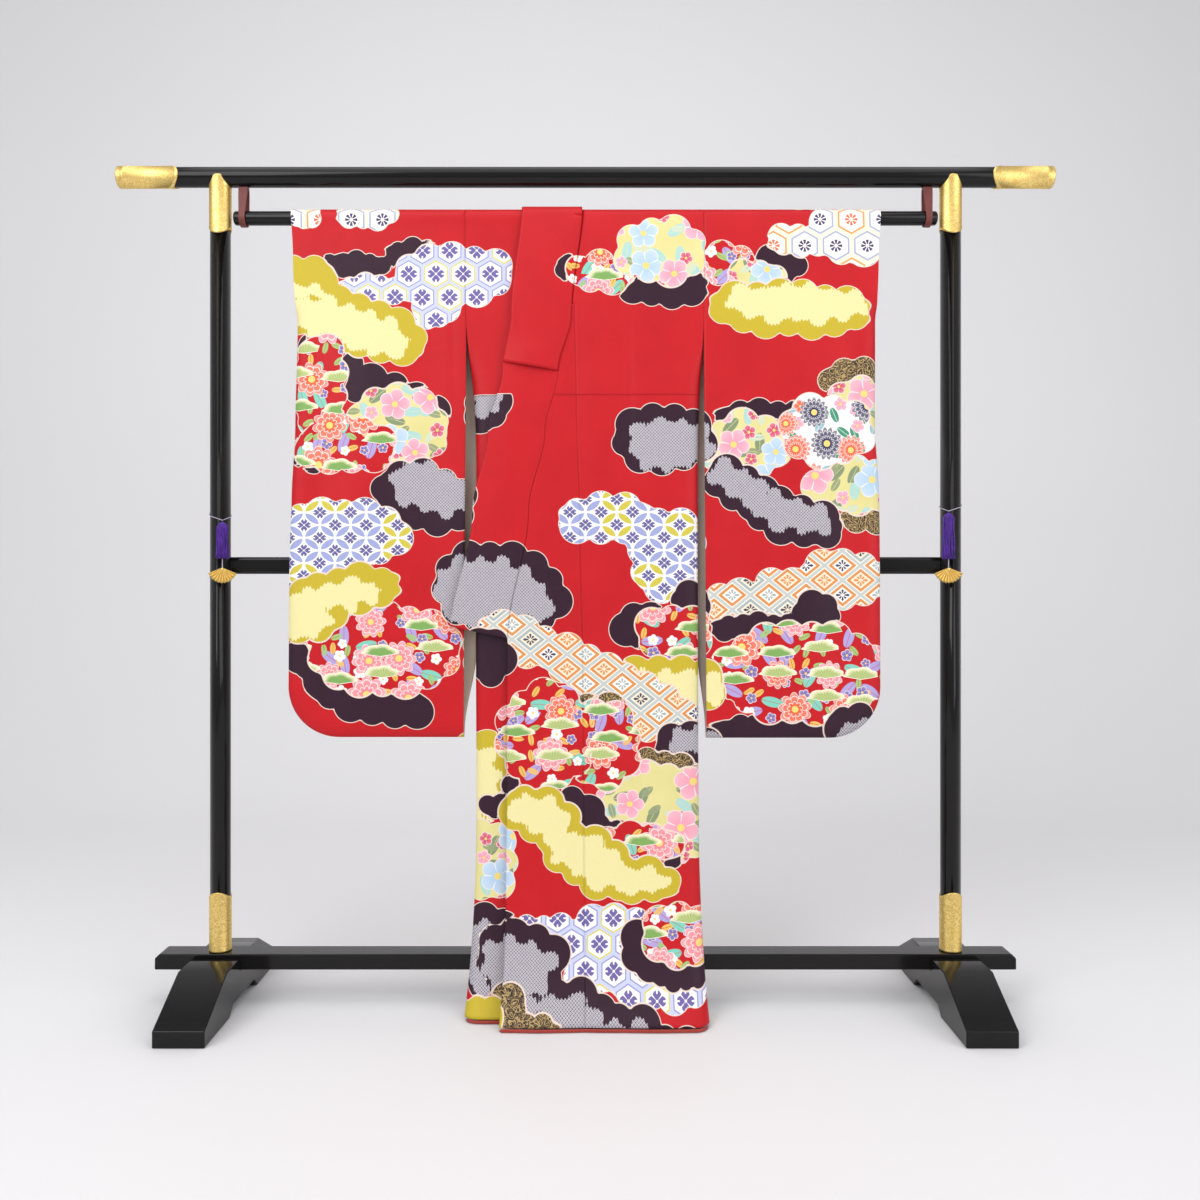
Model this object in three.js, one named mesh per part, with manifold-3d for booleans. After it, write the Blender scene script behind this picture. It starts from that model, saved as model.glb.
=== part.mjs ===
// A furisode, the long-sleeved kimono, hung out on a black lacquered kimono rack.
// Millimetres, +Z up, X across the rack, the garment's front towards -Y, the floor at Z = 0.
import * as THREE from "three";
import { mergeVertices } from "three/addons/utils/BufferGeometryUtils.js";
import Module from "manifold-3d";

const wasm = await Module();
wasm.setup();

// ---------------------------------------------------------------- driving sizes: the rack
const SEAM = 0.3; // the gap left wherever two pieces meet
const TURN = Math.PI / 2;
const ROUND_SIDES = 24;

const BAR_HEIGHT = 1647; // the top bar's axis
const BAR_RADIUS = 20;
const BAR_HALF_LENGTH = 933;
const CAP_LENGTH = 125;
const FITTING_RADIUS = 22; // outside of the gilt fittings, for bars and posts of BAR_RADIUS

const POST_X = 730;
const UPPER_FITTING_BOTTOM = 1530;
const LOWER_FITTING_TOP = 222;

const BEAM = { halfLength: 852, depth: 52, bottom: 71, top: 102, chamfer: 9 };
const FOOT = { width: 95, halfLength: 230, flatHalf: 102, endHeight: 31, height: 94 };
const FOOT_ARCH = { halfLength: 88, flatHalf: 68, height: 18 };

const RAIL = { height: 871, tall: 34, deep: 20, behind: 9, corner: 6 };
const ROD_HEIGHT = 1565;
const ROD_RADIUS = 14;
const ROD_HALF_LENGTH = 702;
const ROD_END_ROUND = 5;
const STRAP = { x: 683, width: 20, thickness: 3 };

// A tassel hangs in front of the rail at each post, from a cord slung round the post.
const TASSELS = [
  { side: "right", sign: -1, knot: 958, bottom: 884 },
  { side: "left", sign: 1, knot: 976, bottom: 883 },
];
const TASSEL = { x: 716, front: -31, headRadius: 8, headLength: 22, strandSides: 4, strandWidth: 2.2 };
// The rings of strands, from the outside in: where each leaves the head and where it ends.
const STRAND_RINGS = [
  { count: 18, rootRadius: 6.4, endRadius: 11 },
  { count: 12, rootRadius: 3.9, endRadius: 7 },
  { count: 5, rootRadius: 1.6, endRadius: 2.9 },
];
const TIE = { wire: 1.5, clearance: 0.4, tilt: 0.35 };
const FAN = { pivotHeight: 866, hub: 4, radius: 31, spread: 2.35, ribs: 10, thickness: 3 };
const FAN_THREAD_RADIUS = 1;

// ---------------------------------------------------------------- driving sizes: the garment
const CLOTH = 2; // lined silk
const COLLAR_CLOTH = 3; // silk over its interlining
const FOLDED_COLLAR = 4; // the inner collar, folded in half along its length
const SHOULDER_RADIUS = 16; // middle of the cloth round the rod
const SHOULDER_STEPS = 6;
const SEAM_BOTTOM = 1350; // where each sleeve stops being sewn to the body
const SIDE_OPEN_TOP = 1330; // the open stretch of side seam under the arm
const SIDE_SEAM_TOP = 1216;
const CUFF_BOTTOM = 1355;
const SLEEVE_BOTTOM = 532;
const SLEEVE_CORNER = 100;
const RIM = 30; // how far in from a sewn edge the two layers stay pinched together
const PLEAT_EDGE = 0; // the knife pleat that takes up the back neck's width
const PLEAT_INSIDE = -93;
const PLEAT_LAYER = 4.4; // from the middle of one layer of the pleat to the next
const COLLAR_TIP = { outerHeight: 751, seamHeight: 727 };
const COLLAR_BACK_END = 1492;
const INNER_COLLAR_WIDTH = 55;
const INNER_COLLAR_TOP = 1535;
const OVER_COLLAR = { outerEnd: 1272, seamEnd: 1254, lift: 6, liftLength: 70 };
const MIRROR_X = 2.5; // the inner front is the outer front turned over about this X
const ROLL = { thickness: 3, top: 6.6, lowest: 1.6, gap: 1.5 };
const BACK_ROLL_TOP = 7.3; // the back falls more steeply, so its roll reaches up further

// Depth (Y) of the middle of each layer at each height, from the rod's axis to the floor.
const LAYERS = [
  { height: ROD_HEIGHT, back: 16, backLeft: 16, inner: -16, outer: -16, collar: -18.8 },
  { height: 1540, back: 17.5, backLeft: 12.5, inner: -14.5, outer: -19, collar: -21 },
  { height: 1480, back: 17, backLeft: 8.2, inner: -14, outer: -23, collar: -24.5 },
  { height: 1400, back: 15, backLeft: 6.2, inner: -16, outer: -26, collar: -27 },
  { height: 1200, back: 9, backLeft: 0.2, inner: -22, outer: -32, collar: -33 },
  { height: 1000, back: -1, backLeft: -9.8, inner: -27, outer: -37.5, collar: -38.5 },
  { height: 860, back: -7.5, backLeft: -16.3, inner: -31, outer: -41.5, collar: -43 },
  { height: 600, back: -11, backLeft: -19.8, inner: -35, outer: -46, collar: -48 },
  { height: 350, back: -16, backLeft: -24.8, inner: -41, outer: -53, collar: -55 },
  { height: 200, back: -26, backLeft: -34.8, inner: -53, outer: -68, collar: -70 },
  { height: 100, back: -42, backLeft: -50.8, inner: -76, outer: -96, collar: -98 },
  { height: 40, back: -60, backLeft: -68.8, inner: -99, outer: -130, collar: -132 },
  { height: 0, back: -78, backLeft: -86.8, inner: -121, outer: -163, collar: -165 },
];

// X of each side of the body and each edge of the sleeves.
const BODY_SIDES = [
  { height: 1600, right: -239, left: 234.7 },
  { height: SEAM_BOTTOM, right: -236.2, left: 233.2 },
  { height: 1200, right: -221, left: 225 },
  { height: 1060, right: -216, left: 221.5 },
  { height: 700, right: -216, left: 221 },
  { height: 300, right: -215, left: 222.5 },
  { height: 120, right: -222, left: 228 },
  { height: 0, right: -231, left: 234 },
];
const SLEEVE_INNER = [
  { height: 1600, right: 239.3, left: 235 },
  { height: SEAM_BOTTOM, right: 236.5, left: 233.5 },
  { height: 1000, right: 238, left: 235 },
  { height: SLEEVE_BOTTOM, right: 240, left: 237 },
];
const SLEEVE_OUTER = [
  { height: 1600, right: 586, left: 588 },
  { height: 1480, right: 581, left: 580 },
  { height: 1340, right: 574, left: 575 },
  { height: 1150, right: 577, left: 573 },
  { height: 1000, right: 583, left: 580 },
  { height: 880, right: 586, left: 580 },
  { height: SLEEVE_BOTTOM, right: 587, left: 580 },
];

// X of the outer front's long lines: the collar's two edges, the overlap's seam and its free edge.
const COLLAR_LINES = [
  { height: 1600, seam: -5, free: -125 },
  { height: 1366, seam: -28, free: -147 },
  { height: 1255, seam: -54, free: -164 },
  { height: 1134, seam: -80, free: -192 },
  { height: 977, seam: -112, free: -222 },
  { height: 727, seam: -153, free: -267 },
];
const OVERLAP_TOP = 1388;
const OVERLAP_SEAM = [
  { height: 1396, x: -23 },
  { height: 1197, x: -19 },
  { height: 921, x: -11 },
  { height: 606, x: -5 },
  { height: 0, x: -1 },
];
const OVERLAP_EDGE = [
  { height: 727, x: -153 },
  { height: 311, x: -154.5 },
  { height: 120, x: -156 },
  { height: 0, x: -161 },
];
// The inner shoulder stays clear of the outer one at the rod, and goes under it below.
const INNER_NECK = [
  { height: 1600, x: -9.8 },
  { height: 1540, x: -9.8 },
  { height: 1480, x: 12 },
  { height: OVERLAP_TOP, x: 28 },
];
const BACK_NECK = { top: 1540, bottom: 1480 };

// Soft folds: a ridge (depth < 0) or trough (depth > 0) that runs from one height down to another.
const FRONT_FOLDS = [
  { top: 1480, bottom: -200, xTop: -20, xBottom: -2, width: 20, depth: 3 },
  { top: 1500, bottom: 980, xTop: 66, xBottom: 80, width: 16, depth: 2 },
  { top: 1300, bottom: -200, xTop: 150, xBottom: 128, width: 46, depth: -3.5 },
  { top: 800, bottom: -200, xTop: -70, xBottom: -92, width: 40, depth: -3.5 },
  { top: 1450, bottom: 700, xTop: -110, xBottom: -205, width: 30, depth: -1.5 },
];
const BACK_FOLDS = [
  { top: 1480, bottom: 100, xTop: -164, xBottom: -156, width: 32, depth: 3 },
  { top: 1450, bottom: 60, xTop: 120, xBottom: 136, width: 42, depth: 3 },
];
const SLEEVE_FOLDS = [
  { top: 1500, bottom: 500, xTop: 320, xBottom: 300, width: 42, depth: 3 },
  { top: 1400, bottom: 500, xTop: 432, xBottom: 452, width: 46, depth: -4 },
  { top: 1520, bottom: 760, xTop: 535, xBottom: 520, width: 30, depth: 3 },
];

const BODY_HEIGHTS = [
  ROD_HEIGHT, 1540, 1508, 1480, 1435, OVERLAP_TOP, 1330, 1270, 1216, 1130, 1010, 900, 840, 730, 600, 450,
  320, 230, 160, 100, 60, 28, ROLL.top + ROLL.gap,
];
const SLEEVE_HEIGHTS = [
  ROD_HEIGHT, 1540, 1500, 1430, CUFF_BOTTOM, 1290, 1190, 1080, 970, 870, 770, 690,
];

// ---------------------------------------------------------------- finishes
const finish = (color, roughness, metalness = 0) =>
  new THREE.MeshStandardMaterial({ color, roughness, metalness });
const RED_SILK = finish(0xb5121f, 0.55);
const LINING = finish(0x8e2a1c, 0.6);
const LACQUER = finish(0x0b0b0c, 0.12);
const GILT = finish(0xd2a640, 0.3, 1);
const LEATHER = finish(0x6a2a2a, 0.6);
const PURPLE_SILK = finish(0x3b1a7a, 0.6);

const kimonoOnRack = new THREE.Group();

function addPiece(name, geometry, material) {
  const piece = new THREE.Mesh(geometry, material);
  piece.name = name;
  kimonoOnRack.add(piece);
  return piece;
}

// ---------------------------------------------------------------- lines and layers
// The value of one column of a table at a height: a cubic curve through its rows.
function along(table, column, height) {
  const last = table.length - 1;
  if (height >= table[0].height) return table[0][column];
  if (height <= table[last].height) return table[last][column];
  const i = table.findIndex((row) => row.height < height) - 1;
  const slope = (k) => {
    const above = table[Math.max(k - 1, 0)];
    const below = table[Math.min(k + 1, last)];
    return (above[column] - below[column]) / (above.height - below.height);
  };
  const a = table[i];
  const b = table[i + 1];
  const span = b.height - a.height;
  const t = (height - a.height) / span;
  return (
    a[column] * (2 * t ** 3 - 3 * t ** 2 + 1) +
    b[column] * (3 * t ** 2 - 2 * t ** 3) +
    slope(i) * span * (t ** 3 - 2 * t ** 2 + t) +
    slope(i + 1) * span * (t ** 3 - t ** 2)
  );
}

const smoothstep = (x, from, to) => THREE.MathUtils.smoothstep(x, from, to);
const blend = (a, b, t) => a + (b - a) * t;

function foldDepth(folds, x, height) {
  let depth = 0;
  for (const fold of folds) {
    const t = (fold.top - height) / (fold.top - fold.bottom);
    if (t <= 0 || t >= 1) continue;
    const off = (x - blend(fold.xTop, fold.xBottom, t)) / fold.width;
    depth += fold.depth * Math.exp(-off * off) * Math.sin(Math.PI * t) ** 0.7;
  }
  return depth;
}

// How far the two layers of a bag stand apart, 0 at a sewn edge and 1 past the rim: a quarter ellipse.
function pinch(distance) {
  const t = 1 - Math.min(Math.max(distance, 0), RIM) / RIM;
  return Math.sqrt(1 - t * t);
}

// The depth of a body layer: pinched to its partner at the side seam, apart above it.
function bodyDepth(layer, partner, side, x, height) {
  const own = along(LAYERS, layer, height);
  const middle = (own + along(LAYERS, partner, height)) / 2;
  const sewn = 1 - smoothstep(height, SIDE_SEAM_TOP, SIDE_OPEN_TOP);
  const apart = blend(1, pinch(Math.abs(along(BODY_SIDES, side, height) - x)), sewn);
  const folds = layer === "inner" || layer === "outer" ? FRONT_FOLDS : BACK_FOLDS;
  return blend(middle, own + foldDepth(folds, x, height), apart);
}

// ---------------------------------------------------------------- cloth walls
// A sheet of cloth as one closed solid. Its middle surface is a list of grids of points, and grids that
// share points are sewn there. Each point moves out and in by half the thickness, and free edges close.
function clothWall(grids, thickness) {
  const points = [];
  const numbers = new Map();
  const number = (p) => {
    const key = p.toArray().map((v) => Math.round(v * 500)).join();
    if (!numbers.has(key)) numbers.set(key, points.push(p) - 1);
    return numbers.get(key);
  };
  const triangles = [];
  for (const grid of grids) {
    for (let r = 0; r + 1 < grid.length; r++) {
      for (let c = 0; c + 1 < grid[r].length; c++) {
        const [p, q, s, t] = [grid[r][c], grid[r][c + 1], grid[r + 1][c + 1], grid[r + 1][c]].map(number);
        for (const face of [[p, q, s], [p, s, t]]) {
          if (new Set(face).size === 3) triangles.push(face);
        }
      }
    }
  }
  faceAlike(triangles);
  const normals = points.map(() => new THREE.Vector3());
  for (const [a, b, c] of triangles) {
    const u = points[b].clone().sub(points[a]);
    const normal = u.cross(points[c].clone().sub(points[a]));
    for (const k of [a, b, c]) normals[k].add(normal);
  }
  const half = thickness / 2;
  const outside = points.map((p, k) => p.clone().addScaledVector(normals[k].normalize(), half));
  const inside = points.map((p, k) => p.clone().addScaledVector(normals[k], -half));
  const count = points.length;
  const faces = triangles.flatMap(([a, b, c]) => [[a, b, c], [c + count, b + count, a + count]]);
  const edges = new Set(triangles.flatMap(([a, b, c]) => [`${a},${b}`, `${b},${c}`, `${c},${a}`]));
  for (const edge of edges) {
    const [a, b] = edge.split(",").map(Number);
    if (!edges.has(`${b},${a}`)) faces.push([b, a, a + count], [b, a + count, b + count]);
  }
  return closedGeometry([...outside, ...inside], faces);
}

// Turns triangles over, from the first one on, until neighbours face the same way.
function faceAlike(triangles) {
  const owners = new Map();
  triangles.forEach((face, k) => {
    for (let e = 0; e < 3; e++) {
      const key = [face[e], face[(e + 1) % 3]].sort((a, b) => a - b).join();
      owners.set(key, [...(owners.get(key) ?? []), k]);
    }
  });
  const runs = (face, a, b) => face[(face.indexOf(a) + 1) % 3] === b;
  const seen = new Set([0]);
  const queue = [0];
  while (queue.length) {
    const k = queue.pop();
    for (let e = 0; e < 3; e++) {
      const [a, b] = [triangles[k][e], triangles[k][(e + 1) % 3]];
      for (const other of owners.get([a, b].sort((m, n) => m - n).join())) {
        if (seen.has(other)) continue;
        if (runs(triangles[other], a, b)) triangles[other].reverse();
        seen.add(other);
        queue.push(other);
      }
    }
  }
}

function closedGeometry(points, faces) {
  const geometry = new THREE.BufferGeometry().setFromPoints(points);
  geometry.setIndex(faces.flat());
  let volume = 0;
  for (const [a, b, c] of faces) volume += points[a].dot(points[b].clone().cross(points[c]));
  if (volume < 0) geometry.setIndex(faces.flatMap((face) => face.toReversed()));
  return geometry;
}

// A grid of points: one row for each height, one column for each share of the way across.
const gridOf = (heights, shares, pointAt) =>
  heights.map((height) => shares.map((share) => pointAt(share, height)));

// The half turn over the rod, from the front's top row to the back's, at the cloth's own radius.
function overRod(shares, xAt, radius) {
  const angles = Array.from({ length: SHOULDER_STEPS + 1 }, (_, k) => (k * Math.PI) / SHOULDER_STEPS);
  return angles.map((angle) =>
    shares.map((share) => new THREE.Vector3(
      xAt(share),
      -radius * Math.cos(angle),
      ROD_HEIGHT + radius * Math.sin(angle),
    )),
  );
}

// Columns crowd towards a sewn edge (share 1), where the rim curves.
function sharesTo(width, plain) {
  const rim = [0.55, 0.22, 0.05, 0].map((part) => 1 - (RIM * part) / width);
  const start = rim[0] - RIM / 3 / width;
  return [...Array.from({ length: plain + 1 }, (_, k) => (start * k) / plain), ...rim];
}

// ---------------------------------------------------------------- the body
const okumiSeam = (height) => along(OVERLAP_SEAM, "x", height);
const collarSeam = (height) => along(COLLAR_LINES, "seam", height);
const collarFree = (height) => along(COLLAR_LINES, "free", height);
const mirrored = (x) => 2 * MIRROR_X - x;
const sideOf = (side) => (height) => along(BODY_SIDES, side, height);

// Where the front panels end towards the middle: at the collar's seam, then at the overlap's.
const outerFrontEdge = (height) =>
  height > OVERLAP_TOP ? collarSeam(height) : okumiSeam(height) + SEAM / 2;
const innerFrontEdge = (height) =>
  height > OVERLAP_TOP ? along(INNER_NECK, "x", height) : mirrored(okumiSeam(height)) - SEAM / 2;

// Behind the neck each half runs from its shoulder's edge down to where the pleat takes it up.
const backNeck = (frontEdge, pleatX) => (height) => {
  const down = 1 - smoothstep(height, BACK_NECK.bottom, BACK_NECK.top);
  return blend(frontEdge(ROD_HEIGHT), pleatX, down);
};

const FRONT_SHARES = sharesTo(225, 4);

function bodyPanel({ layer, backLayer, side, frontEdge, backEdge }) {
  const sideX = sideOf(side);
  const across = (edge, height) => (share) => blend(edge(height), sideX(height), share);
  const wall = (edge, own, partner) => gridOf(BODY_HEIGHTS, FRONT_SHARES, (share, height) => {
    const x = across(edge, height)(share);
    return new THREE.Vector3(x, bodyDepth(own, partner, side, x, height), height);
  });
  return {
    front: wall(frontEdge, layer, backLayer),
    shoulder: overRod(FRONT_SHARES, across(frontEdge, ROD_HEIGHT), SHOULDER_RADIUS),
    back: wall(backEdge, backLayer, layer),
  };
}

// The angles of a quarter turn of the pleat, from one layer to just short of half way to the next.
const QUARTER_TURN = [28, 54, 73].map(THREE.MathUtils.degToRad);

function rightBody() {
  const panel = bodyPanel({
    layer: "inner",
    backLayer: "back",
    side: "right",
    frontEdge: innerFrontEdge,
    backEdge: backNeck(innerFrontEdge, PLEAT_EDGE),
  });
  // The pleat's return: round the fold at PLEAT_EDGE, and back inside to the middle seam.
  const radius = PLEAT_LAYER / 2;
  const folded = BODY_HEIGHTS.flatMap((height, k) => {
    if (height > 1480) return [];
    const start = panel.back[k][0];
    const turn = [30, 90, 150, 180].map((degrees) => {
      const angle = THREE.MathUtils.degToRad(degrees);
      return [start.x + radius * Math.sin(angle), start.y - radius * (1 - Math.cos(angle))];
    });
    const flat = [-45, PLEAT_INSIDE].map((x) => [x, start.y - PLEAT_LAYER]);
    const end = QUARTER_TURN.map((angle) => [
      PLEAT_INSIDE - radius * Math.sin(angle),
      start.y - PLEAT_LAYER - radius * (1 - Math.cos(angle)),
    ]);
    return [[start, ...[...turn, ...flat, ...end].map(([x, y]) => new THREE.Vector3(x, y, height))]];
  });
  return clothWall([panel.front, panel.shoulder, panel.back, folded], CLOTH);
}

function leftBody() {
  const panel = bodyPanel({
    layer: "outer",
    backLayer: "backLeft",
    side: "left",
    frontEdge: outerFrontEdge,
    backEdge: backNeck(outerFrontEdge, PLEAT_INSIDE),
  });
  const radius = PLEAT_LAYER / 2;
  const seamEdge = BODY_HEIGHTS.flatMap((height, k) => {
    if (height > 1480) return [];
    const start = panel.back[k][0];
    const turn = QUARTER_TURN.map((angle) => new THREE.Vector3(
      start.x - radius * Math.sin(angle),
      start.y + radius * (1 - Math.cos(angle)),
      height,
    ));
    return [[start, ...turn]];
  });
  return clothWall([panel.front, panel.shoulder, panel.back, seamEdge], CLOTH);
}

// An overlap (okumi): the long narrow panel between a front's seam and the garment's free edge.
function overlapPanel(layer, partner, side, place) {
  const heights = [OVERLAP_TOP, ...BODY_HEIGHTS.filter((height) => height < OVERLAP_TOP - 20), COLLAR_TIP.seamHeight];
  heights.sort((a, b) => b - a);
  return clothWall([gridOf(heights, [0, 0.34, 0.67, 1], (share, height) => {
    const free = height > COLLAR_TIP.seamHeight ? collarSeam(height) + 2 * SEAM : along(OVERLAP_EDGE, "x", height);
    const x = place(blend(okumiSeam(height) - SEAM / 2, free, share));
    return new THREE.Vector3(x, bodyDepth(layer, partner, side, x, height), height);
  })], CLOTH);
}

// ---------------------------------------------------------------- collars
// A height along the collar, for a share across it: its lower end is cut askew.
const askew = (outer, seam) => (across) => blend(seam, outer, across);
const tipHeight = askew(COLLAR_TIP.outerHeight, COLLAR_TIP.seamHeight);
const overCollarEnd = askew(OVER_COLLAR.outerEnd, OVER_COLLAR.seamEnd);

function collarPoint(share, height, proud) {
  const x = blend(collarSeam(height) - SEAM, collarFree(height), share);
  const folds = foldDepth(FRONT_FOLDS, x, height);
  return new THREE.Vector3(x, along(LAYERS, "collar", height) + folds - proud, height);
}

// The collar band from its lower end, up the front, over the rod and down behind the neck.
function collarBand({ steps, endHeight, backEnd, proud, lift }) {
  const shares = [0, 0.33, 0.67, 1];
  const radius = -along(LAYERS, "collar", ROD_HEIGHT) + proud;
  const rows = Array.from({ length: steps + 1 }, (_, k) => k / steps);
  const front = rows.map((down) => shares.map((share) => {
    const height = blend(ROD_HEIGHT, endHeight(share), down);
    const nearEnd = 1 - smoothstep(height, endHeight(share), endHeight(share) + OVER_COLLAR.liftLength);
    const point = collarPoint(share, height, proud);
    point.y -= lift * Math.sin(Math.PI * share) * nearEnd;
    return point;
  }));
  const xAt = (share) => blend(collarSeam(ROD_HEIGHT) - SEAM, collarFree(ROD_HEIGHT), share);
  const over = overRod(shares, xAt, radius);
  const behind = [ROD_HEIGHT, 1540, 1520, backEnd].map((height) => shares.map((share) => {
    const clearance = radius - SHOULDER_RADIUS;
    return new THREE.Vector3(xAt(share), along(LAYERS, "back", height) + clearance, height);
  }));
  return [front, over, behind];
}

const collarLeft = () => clothWall(
  collarBand({ steps: 17, endHeight: tipHeight, backEnd: COLLAR_BACK_END, proud: 0, lift: 0 }),
  COLLAR_CLOTH,
);

const overCollar = () => clothWall(
  collarBand({
    steps: 9,
    endHeight: overCollarEnd,
    backEnd: COLLAR_BACK_END + 14,
    proud: (COLLAR_CLOTH + CLOTH) / 2 + SEAM,
    lift: OVER_COLLAR.lift,
  }),
  CLOTH,
);

// The inner front's collar is folded in half along its length and hidden under the outer front.
function collarRight() {
  const between = BODY_HEIGHTS.filter((h) => h < INNER_COLLAR_TOP && h > COLLAR_TIP.outerHeight);
  const seamAt = (height) => Math.max(innerFrontEdge(height), mirrored(collarSeam(height)));
  const heights = [INNER_COLLAR_TOP, ...between, COLLAR_TIP.outerHeight];
  return clothWall([gridOf(heights, [0, 1], (share, height) => {
    const x = seamAt(height) + SEAM + share * INNER_COLLAR_WIDTH;
    return new THREE.Vector3(x, along(LAYERS, "inner", height) + foldDepth(FRONT_FOLDS, x, height), height);
  })], FOLDED_COLLAR);
}

// ---------------------------------------------------------------- sleeves
const sleeveInner = (side, height) =>
  Math.max(along(SLEEVE_INNER, side, height), Math.abs(along(BODY_SIDES, side, height)) + SEAM);

// Distance in from a sleeve's sewn outline: its outer edge, its bottom and the round corner between.
function sleeveInset(x, height, outer) {
  const fromOuter = outer - x;
  const fromBottom = height - SLEEVE_BOTTOM;
  if (fromOuter > SLEEVE_CORNER || fromBottom > SLEEVE_CORNER) return Math.min(fromOuter, fromBottom);
  return SLEEVE_CORNER - Math.hypot(SLEEVE_CORNER - fromOuter, SLEEVE_CORNER - fromBottom);
}

function sleeveDepth(own, partner, side, x, height) {
  const outer = along(SLEEVE_OUTER, side, height);
  const plain = along(LAYERS, own, height);
  const middle = (plain + along(LAYERS, partner, height)) / 2;
  const fold = foldDepth(SLEEVE_FOLDS, x, height) * smoothstep(1500 - height, 0, 150);
  const inset = sleeveInset(x, height, outer);
  const bottomInset = height - SLEEVE_BOTTOM;
  const open = smoothstep(height, CUFF_BOTTOM, CUFF_BOTTOM + 45);
  const apart = blend(pinch(inset), pinch(bottomInset), open);
  return blend(middle, plain + fold, apart);
}

// Columns from the armhole side to the outer edge, closer together round the bottom corner.
const SLEEVE_WIDTH = 343;
const CORNER_STEPS = [0, 18, 36, 54, 72, 90].map((degrees) =>
  1 - (SLEEVE_CORNER * (1 - Math.sin(THREE.MathUtils.degToRad(degrees)))) / SLEEVE_WIDTH);
const SLEEVE_SHARES = [0, 0.18, 0.36, 0.54, ...CORNER_STEPS];

function sleeve(side, frontLayer, backLayer) {
  const towards = side === "right" ? -1 : 1;
  const bottomAt = (share) => {
    const past = SLEEVE_CORNER - (1 - share) * SLEEVE_WIDTH;
    if (past <= 0) return SLEEVE_BOTTOM;
    return SLEEVE_BOTTOM + SLEEVE_CORNER - Math.sqrt(Math.max(SLEEVE_CORNER ** 2 - past ** 2, 0));
  };
  const xAt = (share, height) => blend(
    sleeveInner(side, height),
    along(SLEEVE_OUTER, side, height),
    share,
  );
  const wall = (own, partner) => {
    const pointAt = (share, height) => {
      const x = xAt(share, height);
      return new THREE.Vector3(towards * x, sleeveDepth(own, partner, side, x, height), height);
    };
    const upper = gridOf(SLEEVE_HEIGHTS, SLEEVE_SHARES, pointAt);
    const lower = [0.45, 0.68, 0.86, 0.96, 1].map((down) => SLEEVE_SHARES.map((share) => {
      const height = blend(SLEEVE_HEIGHTS.at(-1), bottomAt(share), down);
      const point = pointAt(share, height);
      const sewn = down === 1 || share === 1;
      if (sewn) point.y = (along(LAYERS, own, height) + along(LAYERS, partner, height)) / 2;
      return point;
    }));
    return [...upper, ...lower];
  };
  const shoulder = overRod(SLEEVE_SHARES, (share) => towards * xAt(share, ROD_HEIGHT), SHOULDER_RADIUS);
  return clothWall([wall(frontLayer, backLayer), shoulder, wall(backLayer, frontLayer)], CLOTH);
}

// ---------------------------------------------------------------- the rolled hem of the lining
// A narrow roll of the lining that shows below a hem, over a stretch from one X to another.
function hemRoll({ layer, partner, side, top, from, to }) {
  const shares = [0, 0.12, 0.3, 0.5, 0.7, 0.88, 1];
  return clothWall([gridOf([top, ROLL.lowest], shares, (share, height) => {
    const x = blend(from, to, share);
    return new THREE.Vector3(x, bodyDepth(layer, partner, side, x, height), height);
  })], ROLL.thickness);
}

// ---------------------------------------------------------------- solids that are cut or joined
function solidFrom(geometry, matrix = new THREE.Matrix4()) {
  const bare = geometry.clone().applyMatrix4(matrix);
  bare.deleteAttribute("normal");
  bare.deleteAttribute("uv");
  const merged = mergeVertices(bare, 1e-3);
  return new wasm.Manifold(new wasm.Mesh({
    numProp: 3,
    vertProperties: merged.attributes.position.array,
    triVerts: new Uint32Array(merged.index.array),
  }));
}

function geometryFrom(solid) {
  const mesh = solid.getMesh();
  const geometry = new THREE.BufferGeometry();
  geometry.setAttribute("position", new THREE.BufferAttribute(mesh.vertProperties, 3));
  geometry.setIndex(new THREE.BufferAttribute(mesh.triVerts, 1));
  return geometry;
}

const turnedX = (angle) => new THREE.Matrix4().makeRotationX(angle);
const turnedZ = (angle) => new THREE.Matrix4().makeRotationZ(angle);
const moved = (x, y, z) => new THREE.Matrix4().makeTranslation(x, y, z);

// A round bar along X or Z, centred on a point.
const barAlongX = (radius, length, x, y, z) => solidFrom(
  new THREE.CylinderGeometry(radius, radius, length, ROUND_SIDES),
  moved(x, y, z).multiply(turnedZ(TURN)),
);
const barAlongZ = (radius, bottom, top, x, y) => solidFrom(
  new THREE.CylinderGeometry(radius, radius, top - bottom, ROUND_SIDES),
  moved(x, y, (bottom + top) / 2).multiply(turnedX(TURN)),
);

// An outline in the YZ plane carried along X, centred on x.
function alongX(outline, width, x) {
  const geometry = new THREE.ExtrudeGeometry(outline, { depth: width, bevelEnabled: false, curveSegments: 8 });
  const basis = new THREE.Matrix4().makeBasis(
    new THREE.Vector3(0, 1, 0),
    new THREE.Vector3(0, 0, 1),
    new THREE.Vector3(1, 0, 0),
  );
  return geometry.applyMatrix4(moved(x - width / 2, 0, 0).multiply(basis));
}

// ---------------------------------------------------------------- the rack
function postFittingTongue(bottom, top) {
  const shape = new THREE.Shape();
  const half = FITTING_RADIUS + 2;
  shape.moveTo(-half, bottom - 1);
  shape.lineTo(half, bottom - 1);
  shape.lineTo(half, top - half);
  shape.absarc(0, top - half, half, 0, Math.PI, false);
  return new THREE.ExtrudeGeometry(shape, { depth: 2 * half, bevelEnabled: false, curveSegments: 8 })
    .applyMatrix4(moved(0, half, 0).multiply(turnedX(TURN)));
}

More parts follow.
